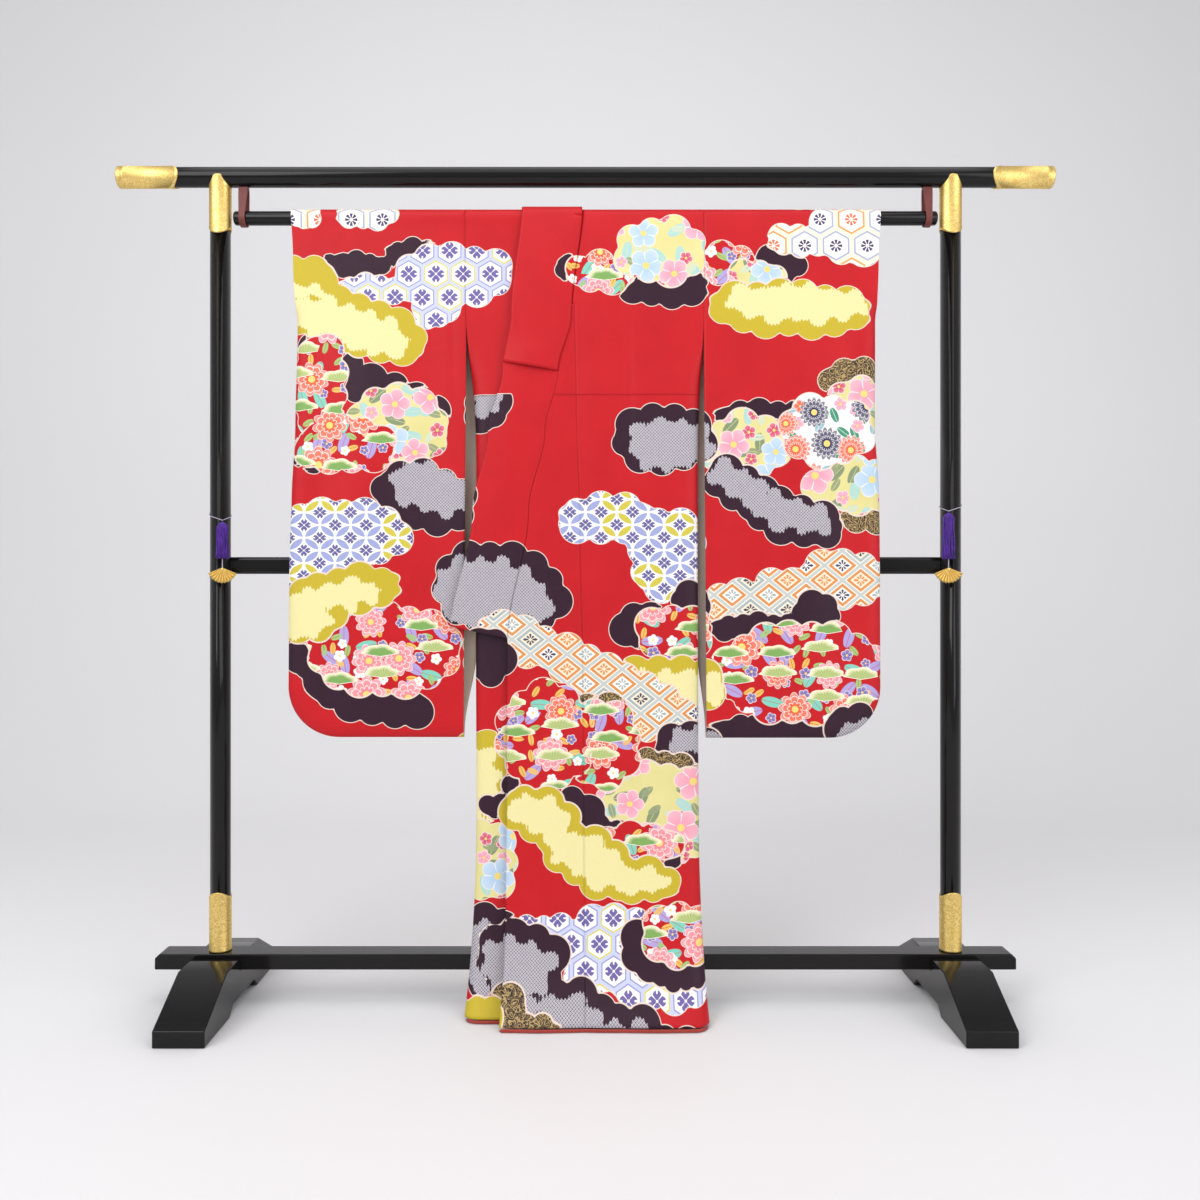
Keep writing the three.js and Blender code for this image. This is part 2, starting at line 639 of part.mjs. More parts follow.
function buildRack() {
  const bar = barAlongX(BAR_RADIUS, 2 * (BAR_HALF_LENGTH - 3), 0, 0, BAR_HEIGHT);
  addPiece("top_bar", geometryFrom(bar), LACQUER);
  const saddle = barAlongX(BAR_RADIUS + SEAM, 400, 0, 0, BAR_HEIGHT);
  const beamTop = BEAM.top + SEAM;

  for (const [side, sign] of [["right", -1], ["left", 1]]) {
    const x = sign * POST_X;
    const capMiddle = sign * (BAR_HALF_LENGTH - CAP_LENGTH / 2);
    const cap = barAlongX(FITTING_RADIUS, CAP_LENGTH, capMiddle, 0, BAR_HEIGHT)
      .subtract(barAlongX(BAR_RADIUS + SEAM, CAP_LENGTH, capMiddle - sign * (3 - SEAM), 0, BAR_HEIGHT));
    addPiece(`bar_cap_${side}`, geometryFrom(cap), GILT);

    const saddleHere = saddle.translate([x, 0, 0]);
    const post = barAlongZ(BAR_RADIUS, beamTop, BAR_HEIGHT, x, 0).subtract(saddleHere);
    addPiece(`post_${side}`, geometryFrom(post), LACQUER);

    const bore = barAlongZ(BAR_RADIUS + SEAM, 0, BAR_HEIGHT + 50, x, 0);
    const upper = barAlongZ(FITTING_RADIUS, UPPER_FITTING_BOTTOM, BAR_HEIGHT, x, 0)
      .subtract(bore)
      .subtract(saddleHere);
    addPiece(`upper_fitting_${side}`, geometryFrom(upper.decompose()[0]), GILT);

    const tongue = solidFrom(postFittingTongue(beamTop, LOWER_FITTING_TOP), moved(x, 0, 0));
    const lower = barAlongZ(FITTING_RADIUS, beamTop, LOWER_FITTING_TOP, x, 0).subtract(bore).intersect(tongue);
    addPiece(`lower_fitting_${side}`, geometryFrom(lower), GILT);

    addPiece(`foot_${side}`, alongX(footOutline(), FOOT.width, x), LACQUER);
    addPiece(`rod_strap_${side}`, alongX(strapOutline(), STRAP.width, sign * STRAP.x), LEATHER);
  }
  addPiece("base_beam", beamGeometry(), LACQUER);

  const railLength = 2 * POST_X;
  let rail = solidFrom(alongX(railOutline(), railLength, 0));
  for (const sign of [-1, 1]) {
    rail = rail.subtract(barAlongZ(BAR_RADIUS + SEAM, RAIL.height - 60, RAIL.height + 60, sign * POST_X, 0));
  }
  const middlePiece = rail.decompose().sort((a, b) => b.volume() - a.volume())[0];
  addPiece("middle_rail", geometryFrom(middlePiece), LACQUER);

  const rodOutline = [
    [0, -ROD_HALF_LENGTH],
    [ROD_RADIUS - ROD_END_ROUND, -ROD_HALF_LENGTH],
    [ROD_RADIUS, -ROD_HALF_LENGTH + ROD_END_ROUND],
    [ROD_RADIUS, ROD_HALF_LENGTH - ROD_END_ROUND],
    [ROD_RADIUS - ROD_END_ROUND, ROD_HALF_LENGTH],
    [0, ROD_HALF_LENGTH],
  ].map(([r, h]) => new THREE.Vector2(r, h));
  const rod = addPiece("hanging_rod", new THREE.LatheGeometry(rodOutline, ROUND_SIDES), LACQUER);
  rod.rotation.z = -TURN;
  rod.position.set(0, 0, ROD_HEIGHT);
}

// Side view of a foot: flat on top under the beam, sloped to both ends, notched for the beam, arched below.
function footOutline() {
  const notch = BEAM.depth / 2 + SEAM;
  const notchBottom = BEAM.bottom - SEAM;
  return new THREE.Shape([
    [-FOOT.halfLength, 0], [-FOOT_ARCH.halfLength, 0],
    [-FOOT_ARCH.flatHalf, FOOT_ARCH.height], [FOOT_ARCH.flatHalf, FOOT_ARCH.height],
    [FOOT_ARCH.halfLength, 0], [FOOT.halfLength, 0],
    [FOOT.halfLength, FOOT.endHeight], [FOOT.flatHalf, FOOT.height],
    [notch, FOOT.height], [notch, notchBottom], [-notch, notchBottom], [-notch, FOOT.height],
    [-FOOT.flatHalf, FOOT.height], [-FOOT.halfLength, FOOT.endHeight],
  ].map(([y, z]) => new THREE.Vector2(y, z)));
}

function beamGeometry() {
  const { halfLength, depth, bottom, top, chamfer } = BEAM;
  const outline = new THREE.Shape([
    [-halfLength, bottom], [halfLength, bottom], [halfLength, top - chamfer],
    [halfLength - chamfer, top], [chamfer - halfLength, top], [-halfLength, top - chamfer],
  ].map(([x, z]) => new THREE.Vector2(x, z)));
  return new THREE.ExtrudeGeometry(outline, { depth, bevelEnabled: false })
    .applyMatrix4(moved(0, depth / 2, 0).multiply(turnedX(TURN)));
}

function railOutline() {
  const { height, tall, deep, behind, corner } = RAIL;
  const shape = new THREE.Shape();
  const [y0, y1, z0, z1] = [behind - deep / 2, behind + deep / 2, height - tall / 2, height + tall / 2];
  shape.moveTo(y0 + corner, z0);
  shape.lineTo(y1 - corner, z0);
  shape.absarc(y1 - corner, z0 + corner, corner, -TURN, 0, false);
  shape.absarc(y1 - corner, z1 - corner, corner, 0, TURN, false);
  shape.absarc(y0 + corner, z1 - corner, corner, TURN, 2 * TURN, false);
  shape.absarc(y0 + corner, z0 + corner, corner, 2 * TURN, 3 * TURN, false);
  return shape;
}

// A leather loop round the rod, with both its ends under the top bar.
function strapOutline() {
  const top = BAR_HEIGHT - BAR_RADIUS - SEAM;
  const inner = ROD_RADIUS + SEAM + 0.3;
  const outer = inner + STRAP.thickness;
  const throat = 3;
  const shape = new THREE.Shape();
  shape.moveTo(throat + STRAP.thickness, top);
  shape.lineTo(-throat - STRAP.thickness, top);
  shape.lineTo(-outer, ROD_HEIGHT);
  shape.absarc(0, ROD_HEIGHT, outer, 2 * TURN, 4 * TURN, false);
  const hole = new THREE.Path();
  hole.moveTo(0, top - 2 * STRAP.thickness);
  hole.lineTo(-throat, top - 2 * STRAP.thickness);
  hole.lineTo(-inner, ROD_HEIGHT);
  hole.absarc(0, ROD_HEIGHT, inner, 2 * TURN, 4 * TURN, false);
  hole.lineTo(throat, top - 2 * STRAP.thickness);
  shape.holes.push(hole);
  return shape;
}

// ---------------------------------------------------------------- ornaments at the middle rail
function buildOrnament({ side, sign, knot, bottom }) {
  const x = sign * TASSEL.x;
  // The cord is slung: it lies against the post behind, and reaches out and down to the tassel.
  const reach = new THREE.Vector2(x - sign * POST_X, TASSEL.front);
  const behind = BAR_RADIUS + TIE.clearance + TIE.wire;
  const tieRadius = (reach.length() + behind) / 2 / Math.cos(TIE.tilt);
  const centre = new THREE.Vector2(sign * POST_X, 0).addScaledVector(
    reach.clone().normalize(),
    (reach.length() - behind) / 2,
  );
  const low = knot + SEAM + 1.1 * TIE.wire;
  const tie = new THREE.TorusGeometry(tieRadius, TIE.wire, 6, 20)
    .applyMatrix4(moved(centre.x, centre.y, low + tieRadius * Math.sin(TIE.tilt))
      .multiply(turnedZ(Math.atan2(reach.x, -reach.y)))
      .multiply(turnedX(TIE.tilt)));
  addPiece(`tassel_tie_${side}`, tie, PURPLE_SILK);

  addPiece(`tassel_${side}`, tasselGeometry(x, knot, bottom), PURPLE_SILK);

  const threadTop = bottom - SEAM;
  const threadBottom = FAN.pivotHeight - FAN.hub + SEAM;
  const thread = new THREE.CylinderGeometry(FAN_THREAD_RADIUS, FAN_THREAD_RADIUS, threadTop - threadBottom, 6)
    .applyMatrix4(moved(x, TASSEL.front, (threadTop + threadBottom) / 2).multiply(turnedX(TURN)));
  addPiece(`fan_thread_${side}`, thread, PURPLE_SILK);
  addPiece(`fan_charm_${side}`, fanGeometry(x), GILT);
}

// A turned head with strands of silk that spread a little and stand apart below it.
function tasselGeometry(x, knot, bottom) {
  const { headRadius, headLength, strandSides, strandWidth, front } = TASSEL;
  const head = knot - headLength;
  const outline = [
    [0, 0], [0.97, 0], [1, 5], [0.86, 9], [0.9, 12], [0.62, 17], [0.25, headLength - 2], [0, headLength],
  ].map(([r, z]) => new THREE.Vector2(r * headRadius, z));
  const lathe = new THREE.LatheGeometry(outline, 12);
  const strands = STRAND_RINGS.flatMap(({ count, rootRadius, endRadius }, ring) =>
    Array.from({ length: count }, (_, k) => {
      const angle = ((k + ring / 3) / count) * 2 * Math.PI;
      const length = head - bottom - 3 * ((k * 7 + ring * 4) % 5) / 5;
      const lean = Math.atan((endRadius - rootRadius) / length);
      const geometry = new THREE.CylinderGeometry(strandWidth / 2, strandWidth / 2.6, length + 3, strandSides);
      return solidFrom(geometry, moved(x, front, head)
        .multiply(turnedZ(angle))
        .multiply(moved(rootRadius, 0, 0))
        .multiply(new THREE.Matrix4().makeRotationY(-lean))
        .multiply(moved(0, 0, 3 - (length + 3) / 2))
        .multiply(turnedX(TURN)));
    }),
  );
  const top = solidFrom(lathe, moved(x, front, head).multiply(turnedX(TURN)));
  return geometryFrom(wasm.Manifold.union([top, ...strands]));
}

// A folding fan held open, pivot up: a fluted sector whose edge steps in and out with its ribs.
function fanGeometry(x) {
  const { pivotHeight, hub, radius, spread, ribs, thickness } = FAN;
  const flutes = Array.from({ length: 2 * ribs + 1 }, (_, k) => -TURN + ((k / (2 * ribs)) - 0.5) * spread);
  const row = (r, fluting, z = pivotHeight) => flutes.map((angle, k) => new THREE.Vector3(
    x + r * Math.cos(angle),
    TASSEL.front + (k % 2 ? fluting : -fluting),
    z + r * Math.sin(angle),
  ));
  return clothWall([[row(hub, 0), row(radius * 0.6, 1), row(radius, 1.6)]], thickness);
}

// ---------------------------------------------------------------- the garment
function buildGarment() {
  addPiece("body_right", rightBody(), RED_SILK);
  addPiece("body_left", leftBody(), RED_SILK);
  addPiece("overlap_left", overlapPanel("outer", "backLeft", "left", (x) => x), RED_SILK);
  addPiece("overlap_right", overlapPanel("inner", "back", "right", mirrored), RED_SILK);
  addPiece("collar_left", collarLeft(), RED_SILK);
  addPiece("collar_right", collarRight(), RED_SILK);
  addPiece("over_collar", overCollar(), RED_SILK);
  addPiece("sleeve_right", sleeve("right", "inner", "back"), RED_SILK);
  addPiece("sleeve_left", sleeve("left", "outer", "backLeft"), RED_SILK);

  const free = along(OVERLAP_EDGE, "x", 0);
  const left = { side: "left", to: sideOf("left")(0) - 2 };
  const right = { side: "right", to: sideOf("right")(0) + 2 };
  const front = { top: ROLL.top };
  const back = { top: BACK_ROLL_TOP };
  const rolls = {
    outer: { ...left, ...front, layer: "outer", partner: "backLeft", from: free },
    inner: { ...right, ...front, layer: "inner", partner: "back", from: mirrored(free) },
    back_right: { ...right, ...back, layer: "back", partner: "inner", from: PLEAT_EDGE - 2 },
    back_left: { ...left, ...back, layer: "backLeft", partner: "outer", from: PLEAT_EDGE + 6 },
  };
  for (const [name, roll] of Object.entries(rolls)) addPiece(`hem_roll_${name}`, hemRoll(roll), LINING);
}

buildRack();
TASSELS.forEach(buildOrnament);
buildGarment();

export default kimonoOnRack;
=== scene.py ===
"""A long-sleeved kimono on a black lacquered rack: the cloth, its dyed patterns and the rack's finishes.

Sizes are in millimetres until a mesh is made, and in metres after that. +X runs along the rack's bars, +Y
goes from the garment's front to its back, +Z is up, and the floor is at Z = 0.
"""

from __future__ import annotations

import logging
import math
from collections.abc import Callable, Sequence
from dataclasses import dataclass, replace
from enum import Enum
from itertools import groupby

import bmesh
import bpy
import numpy as np
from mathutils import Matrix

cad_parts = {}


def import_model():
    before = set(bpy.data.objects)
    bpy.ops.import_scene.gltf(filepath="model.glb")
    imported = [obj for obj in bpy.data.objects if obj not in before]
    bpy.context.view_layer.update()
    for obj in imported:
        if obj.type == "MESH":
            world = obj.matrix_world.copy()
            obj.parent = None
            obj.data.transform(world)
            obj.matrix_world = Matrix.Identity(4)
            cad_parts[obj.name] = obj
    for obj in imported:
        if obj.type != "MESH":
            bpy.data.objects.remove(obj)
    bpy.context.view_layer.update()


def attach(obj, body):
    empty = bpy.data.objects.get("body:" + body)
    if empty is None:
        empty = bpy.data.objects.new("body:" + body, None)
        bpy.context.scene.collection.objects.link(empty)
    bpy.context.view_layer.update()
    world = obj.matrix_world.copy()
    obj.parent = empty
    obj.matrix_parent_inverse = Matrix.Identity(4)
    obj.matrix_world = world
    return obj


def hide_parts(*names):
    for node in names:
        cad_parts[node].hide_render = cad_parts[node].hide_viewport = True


LOG = logging.getLogger("kimono")
MM = 0.001
Array = np.ndarray
Colour = tuple[float, float, float]
Face = tuple[int, ...]


def srgb(red: int, green: int, blue: int) -> Colour:
    """Returns the linear colour of three screen values from 0 to 255."""
    shares = [value / 255 for value in (red, green, blue)]
    return tuple(s / 12.92 if s <= 0.04045 else ((s + 0.055) / 1.055) ** 2.4 for s in shares)


# ---------------------------------------------------------------- shader maths
def math_method(operation: str, meaning: str) -> Callable:
    """Makes a method that passes a signal and its arguments through a Math node.

    Args:
        operation: the node's operation.
        meaning: what the method returns, which becomes its docstring.

    Returns:
        The method.
    """

    def method(signal: Signal, *others: Signal | float) -> Signal:
        return signal.recipe.math(operation, signal, *others)

    method.__doc__ = f"Returns {meaning}."
    return method


class Signal:
    """A number or colour that flows through a finish's nodes, with Python's arithmetic on it."""

    __add__ = __radd__ = math_method("ADD", "the sum")
    __mul__ = __rmul__ = math_method("MULTIPLY", "the product")
    __sub__ = math_method("SUBTRACT", "this less the other")
    __truediv__ = math_method("DIVIDE", "the quotient")
    __abs__ = math_method("ABSOLUTE", "the size without its sign")
    __gt__ = math_method("GREATER_THAN", "1 where this is the larger, else 0")
    __lt__ = math_method("LESS_THAN", "1 where this is the smaller, else 0")
    least = math_method("MINIMUM", "the smaller of the two")
    most = math_method("MAXIMUM", "the larger of the two")
    floor = math_method("FLOOR", "the whole number at or below this")
    root = math_method("SQRT", "the square root")
    cosine = math_method("COSINE", "the cosine")
    sine = math_method("SINE", "the sine")
    wrap = math_method("WRAP", "the value brought between a highest and a lowest one by whole spans")

    def __init__(self, recipe: Recipe, socket: bpy.types.NodeSocket) -> None:
        """Wraps an output socket of a recipe's node."""
        self.recipe = recipe
        self.socket = socket

    def __rsub__(self, other: float) -> Signal:
        """Returns the other less this."""
        return self.recipe.math("SUBTRACT", other, self)

    def wrapped(self, pitch: float) -> Signal:
        """Returns the value brought into the span of one pitch about zero."""
        return self.wrap(pitch / 2, -pitch / 2)

    def cell(self, pitch: float) -> Signal:
        """Returns the number of the pitch that the value falls in."""
        return (self / pitch + 0.5).floor()

    def edge(self, soft: float = 0.5) -> Signal:
        """Returns 0 below zero and 1 above it, over a width of soft on each side."""
        return self.recipe.clamp(self / (2 * soft) + 0.5)


Value = Signal | float
Paint = Signal | Colour


class Recipe:
    """A material while it is mixed: one node tree, and one method that adds any node to it."""

    def __init__(self, name: str) -> None:
        """Starts an empty material.

        Args:
            name: the finish's name.
        """
        self.material = bpy.data.materials.new(name)
        self.material.use_nodes = True
        self.tree = self.material.node_tree
        self.tree.nodes.clear()

    def node(self, kind: str, settings: dict | None = None, sockets: dict | None = None) -> bpy.types.Node:
        """Adds a node.

        Args:
            kind: the node's type, without the word ShaderNode.
            settings: what is set on the node before its sockets, such as its operation.
            sockets: values or signals for its inputs, by name or number.

        Returns:
            The new node.
        """
        made = self.tree.nodes.new("ShaderNode" + kind)
        for key, value in (settings or {}).items():
            setattr(made, key, value)
        for key, value in (sockets or {}).items():
            if isinstance(value, Signal):
                self.tree.links.new(value.socket, made.inputs[key])
            elif isinstance(value, tuple) and made.inputs[key].type == "RGBA":
                made.inputs[key].default_value = (*value, 1.0)
            else:
                made.inputs[key].default_value = value
        return made

    def out(self, node: bpy.types.Node, key: str | int = 0) -> Signal:
        """Returns one output of a node as a signal."""
        return Signal(self, node.outputs[key])

    def math(self, operation: str, *values: Value) -> Signal:
        """Returns a Math node's result for up to three values."""
        return self.out(self.node("Math", {"operation": operation}, dict(enumerate(values))))

    def clamp(self, value: Signal) -> Signal:
        """Returns the value kept between 0 and 1."""
        return self.out(self.node("Clamp", None, {"Value": value}))

    def mix(self, share: Value, under: Paint, over: Paint) -> Signal:
        """Returns the colour over laid on the colour under, by its share."""
        made = self.node("Mix", {"data_type": "RGBA"}, {"Factor": share, 6: under, 7: over})
        return self.out(made, 2)

    def vector(self, x: Value, y: Value, z: Value = 0.0) -> Signal:
        """Returns three values as one vector."""
        return self.out(self.node("CombineXYZ", None, {0: x, 1: y, 2: z}))

    def parts(self, vector: Signal) -> tuple[Signal, Signal, Signal]:
        """Returns a vector's three values."""
        split = self.node("SeparateXYZ", None, {0: vector})
        return self.out(split, 0), self.out(split, 1), self.out(split, 2)

    def attribute(self, name: str) -> Signal:
        """Returns a mesh attribute's number."""
        return self.out(self.node("Attribute", {"attribute_name": name}), "Fac")

    def flat(self, uv_map: str) -> tuple[Signal, Signal]:
        """Returns the two lengths, in millimetres, that a UV map holds in metres."""
        u, v, _ = self.parts(self.out(self.node("UVMap", {"uv_map": uv_map})))
        return u / MM, v / MM

    def place(self) -> Signal:
        """Returns the object's own coordinates, in metres."""
        return self.out(self.node("TexCoord"), "Object")

    def noise(self, vector: Signal, scale: float, detail: float = 3.0, rough: float = 0.5) -> Signal:
        """Returns cloudy noise from 0 to 1, with scale lumps to the metre."""
        sockets = {"Vector": vector, "Scale": scale, "Detail": detail, "Roughness": rough}
        return self.out(self.node("TexNoise", None, sockets), "Fac")

    def bump(self, height: Signal, strength: float, distance: float) -> Signal:
        """Returns a normal raised by a height, with distance in metres."""
        sockets = {"Height": height, "Strength": strength, "Distance": distance}
        return self.out(self.node("Bump", None, sockets))

    def finish(self, sockets: dict) -> bpy.types.Material:
        """Adds the surface shader.

        Args:
            sockets: the shader's inputs, by name.

        Returns:
            The finished material.
        """
        shader = self.node("BsdfPrincipled", None, sockets)
        output = self.node("OutputMaterial")
        self.tree.links.new(shader.outputs[0], output.inputs[0])
        return self.material


# ---------------------------------------------------------------- the lines that the cloth follows
def along(table: Sequence[dict[str, float]], column: str, height: Array) -> Array:
    """Reads one column of a table at heights, on a cubic curve through its rows.

    Args:
        table: rows with a height each, from the top down.
        column: the column to read.
        height: the heights.

    Returns:
        The values, with the first and last row's held beyond the table.
    """
    rows = table[::-1]
    z = np.array([row["height"] for row in rows])
    value = np.array([row[column] for row in rows])
    slope = np.empty_like(value)
    slope[1:-1] = (value[2:] - value[:-2]) / (z[2:] - z[:-2])
    slope[0] = (value[1] - value[0]) / (z[1] - z[0])
    slope[-1] = (value[-1] - value[-2]) / (z[-1] - z[-2])
    height = np.clip(height, z[0], z[-1])
    k = np.clip(np.searchsorted(z, height, side="right") - 1, 0, len(z) - 2)
    span = z[k + 1] - z[k]
    t = (height - z[k]) / span
    start = value[k] * (2 * t**3 - 3 * t**2 + 1) + slope[k] * span * (t**3 - 2 * t**2 + t)
    return start + value[k + 1] * (3 * t**2 - 2 * t**3) + slope[k + 1] * span * (t**3 - t**2)


def rows(columns: str, *lines: Sequence[float]) -> list[dict[str, float]]:
    """Returns a table of named columns from its lines of numbers."""
    names = columns.split()
    return [dict(zip(names, line, strict=True)) for line in lines]


def ramp(value: Array, low: float, high: float) -> Array:
    """Returns a smooth step from 0 at low to 1 at high."""
    t = np.clip((value - low) / (high - low), 0, 1)
    return t * t * (3 - 2 * t)


def between(start: Array, end: Array, share: Array) -> Array:
    """Returns the point that lies a share of the way from start to end."""
    return start + (end - start) * share


@dataclass(frozen=True)
class Fold:
    """A soft crease: a ridge (depth below 0) or trough that runs down the cloth, fading at both ends."""

    top: float
    bottom: float
    x_top: float
    x_bottom: float
    width: float
    depth: float

    def at(self, x: Array, height: Array) -> Array:
        """Returns the crease's depth: a bell across it times a half sine along it."""
        t = np.clip((self.top - height) / (self.top - self.bottom), 0, 1)
        off = (x - between(self.x_top, self.x_bottom, t)) / self.width
        return self.depth * np.exp(-off * off) * np.sin(np.pi * t) ** 0.7


SEAM = 0.3  # between two pieces that are joined
CLOTH = 2.0
COLLAR_CLOTH = 3.0
FOLDED_COLLAR = 4.0
ROD_HEIGHT = 1565.0
SHOULDER_RADIUS = 16.0
SEAM_BOTTOM = 1350.0
SIDE_OPEN_TOP = 1330.0
SIDE_SEAM_TOP = 1216.0
CUFF_BOTTOM = 1355.0
SLEEVE_BOTTOM = 532.0
SLEEVE_CORNER = 100.0
RIM = 30.0  # how far in from a sewn edge its two layers stay pinched together
PLEAT_EDGE = 0.0
PLEAT_INSIDE = -93.0
PLEAT_LAYER = 4.4
TIP_OUTER, TIP_SEAM = 751.0, 727.0
COLLAR_BACK_END = 1492.0
INNER_COLLAR_WIDTH = 55.0
INNER_COLLAR_TOP = 1535.0
OVER_OUTER, OVER_SEAM = 1272.0, 1254.0
OVER_LIFT, OVER_LIFT_LENGTH = 6.0, 70.0
MIRROR_X = 2.5
OVERLAP_TOP = 1388.0
TUCK = 1207.0  # the tuck seam at the waist, where the dyed picture is cut
TUCK_EDGES = (TUCK - 1.2, TUCK + 1.2)
NECK_LOW, NECK_TOP = 1480.0, 1540.0
HEM = 8.1
ROLL_LOWEST, ROLL_TOP, BACK_ROLL_TOP = 1.6, 6.6, 7.3
OVER = 2 * ROD_HEIGHT + math.pi * SHOULDER_RADIUS  # the front's height and the back's add up to this

LAYERS = rows(
    "height back back_left inner outer collar",
    (ROD_HEIGHT, 16, 16, -16, -16, -18.8),
    (1540, 17.5, 12.5, -14.5, -19, -21),
    (1480, 17, 8.2, -14, -23, -24.5),
    (1400, 15, 6.2, -16, -26, -27),
    (1200, 9, 0.2, -22, -32, -33),
    (1000, -1, -9.8, -27, -37.5, -38.5),
    (860, -7.5, -16.3, -31, -41.5, -43),
    (600, -11, -19.8, -35, -46, -48),
    (350, -16, -24.8, -41, -53, -55),
    (200, -26, -34.8, -53, -68, -70),
    (100, -42, -50.8, -76, -96, -98),
    (40, -60, -68.8, -99, -130, -132),
    (0, -78, -86.8, -121, -163, -165),
)
BODY_SIDES = rows(
    "height right left",
    (1600, -239, 234.7),
    (SEAM_BOTTOM, -236.2, 233.2),
    (1200, -221, 225),
    (1060, -216, 221.5),
    (700, -216, 221),
    (300, -215, 222.5),
    (120, -222, 228),
    (0, -231, 234),
)
SLEEVE_INNER = rows(
    "height right left",
    (1600, 239.3, 235),
    (SEAM_BOTTOM, 236.5, 233.5),
    (1000, 238, 235),
    (SLEEVE_BOTTOM, 240, 237),
)
SLEEVE_OUTER = rows(
    "height right left",
    (1600, 586, 588),
    (1480, 581, 580),
    (1340, 574, 575),
    (1150, 577, 573),
    (1000, 583, 580),
    (880, 586, 580),
    (SLEEVE_BOTTOM, 587, 580),
)
COLLAR_LINES = rows(
    "height seam free",
    (1600, -5, -125),
    (1366, -28, -147),
    (1255, -54, -164),
    (1134, -80, -192),
    (977, -112, -222),
    (727, -153, -267),
)
OVERLAP_SEAM = rows("height x", (1396, -23), (1197, -19), (921, -11), (606, -5), (0, -1))
OVERLAP_EDGE = rows("height x", (727, -153), (311, -154.5), (120, -156), (0, -161))
INNER_NECK = rows("height x", (1600, -9.8), (1540, -9.8), (1480, 12), (OVERLAP_TOP, 28))

FRONT_FOLDS = (
    Fold(1480, -200, -20, -2, 20, 3),
    Fold(1500, 980, 66, 80, 16, 2),
    Fold(1300, -200, 150, 128, 46, -3.5),
    Fold(800, -200, -70, -92, 40, -3.5),
    Fold(1450, 700, -110, -205, 30, -1.5),
)
FRONT_CREASES = (
    Fold(1400, 1010, 88, 92, 5, 1.1),
    Fold(1210, 900, 42, 50, 8, 0.9),
    Fold(1196, 980, 70, 74, 5, -0.8),
    Fold(760, 330, -38, -30, 9, 0.8),
    Fold(620, 120, 60, 66, 10, 1.0),
    Fold(430, 40, -100, -112, 12, 0.9),
    Fold(420, 30, 178, 186, 12, -1.0),
)
BACK_FOLDS = (Fold(1480, 100, -164, -156, 32, 3), Fold(1450, 60, 120, 136, 42, 3))
BACK_CREASES = (
    Fold(1380, 700, -60, -52, 9, -1.0),
    Fold(1200, 420, 60, 72, 10, -1.1),
    Fold(900, 120, 182, 176, 12, -0.9),
    Fold(820, 90, -196, -192, 9, -0.8),
)
SLEEVE_FOLDS = (
    Fold(1500, 500, 320, 300, 42, 3),
    Fold(1400, 500, 432, 452, 46, -4),
    Fold(1520, 760, 535, 520, 30, 3),
)
SLEEVE_CREASES = (
    Fold(1530, 1120, 276, 268, 7, 0.8),
    Fold(1300, 820, 372, 382, 9, -0.9),
    Fold(1180, 640, 496, 488, 11, 0.9),
    Fold(900, 560, 344, 350, 10, 0.8),
)


def fold_depth(folds: Sequence[Fold], x: Array, height: Array) -> Array:
    """Returns the summed depth of several creases."""
    return sum(fold.at(x, height) for fold in folds)


def pinch(distance: Array) -> Array:
    """Returns how far two layers stand apart near a sewn edge: a quarter ellipse from 0 to 1 over the rim."""
    t = 1 - np.clip(distance, 0, RIM) / RIM
    return np.sqrt(np.maximum(1 - t * t, 0))


def body_depth(layer: str, partner: str, side: str, x: Array, height: Array) -> Array:
    """Returns the depth of a body layer: pinched to its partner at the side seam, apart above it."""
    own = along(LAYERS, layer, height)
    middle = (own + along(LAYERS, partner, height)) / 2
    sewn = 1 - ramp(height, SIDE_SEAM_TOP, SIDE_OPEN_TOP)
    apart = between(1.0, pinch(np.abs(along(BODY_SIDES, side, height) - x)), sewn)
    front = layer in ("inner", "outer")
    folds = (FRONT_FOLDS + FRONT_CREASES) if front else (BACK_FOLDS + BACK_CREASES)
    return between(middle, own + fold_depth(folds, x, height), apart)


def collar_seam(height: Array) -> Array:
    """Returns X of the collar's sewn edge."""
    return along(COLLAR_LINES, "seam", height)


def okumi_seam(height: Array) -> Array:
    """Returns X of the overlap's seam."""
    return along(OVERLAP_SEAM, "x", height)


def mirrored(x: Array) -> Array:
    """Returns an X of the outer front turned over, as the inner front lies."""
    return 2 * MIRROR_X - x


def outer_front_edge(height: Array) -> Array:
    """Returns where the outer front ends: at the collar's seam, and below at the overlap's."""
    return np.where(height > OVERLAP_TOP, collar_seam(height), okumi_seam(height) + 0.02)


def inner_front_edge(height: Array) -> Array:
    """Returns where the inner front ends under the outer one."""
    return np.where(height > OVERLAP_TOP, along(INNER_NECK, "x", height), mirrored(okumi_seam(height)) - 0.02)


# ---------------------------------------------------------------- the dyed picture
class Dye(Enum):
    """What a cloud on the cloth is filled with. The value is its attribute's name."""

    PLUM = "plum"
    YELLOW = "yellow"
    TORTOISE = "tortoise"
    RINGS = "rings"
    DIAMONDS = "diamonds"
    DOTS = "dots"
    FLOWERS = "flowers"
    GARDEN = "garden"
    BROCADE = "brocade"
    LANTERN = "lantern"
    BOUQUET = "bouquet"


TOOTH_RIM = 17.0  # the plain rim that is left round a cloud's toothed part
FAR_OUTSIDE = -60.0


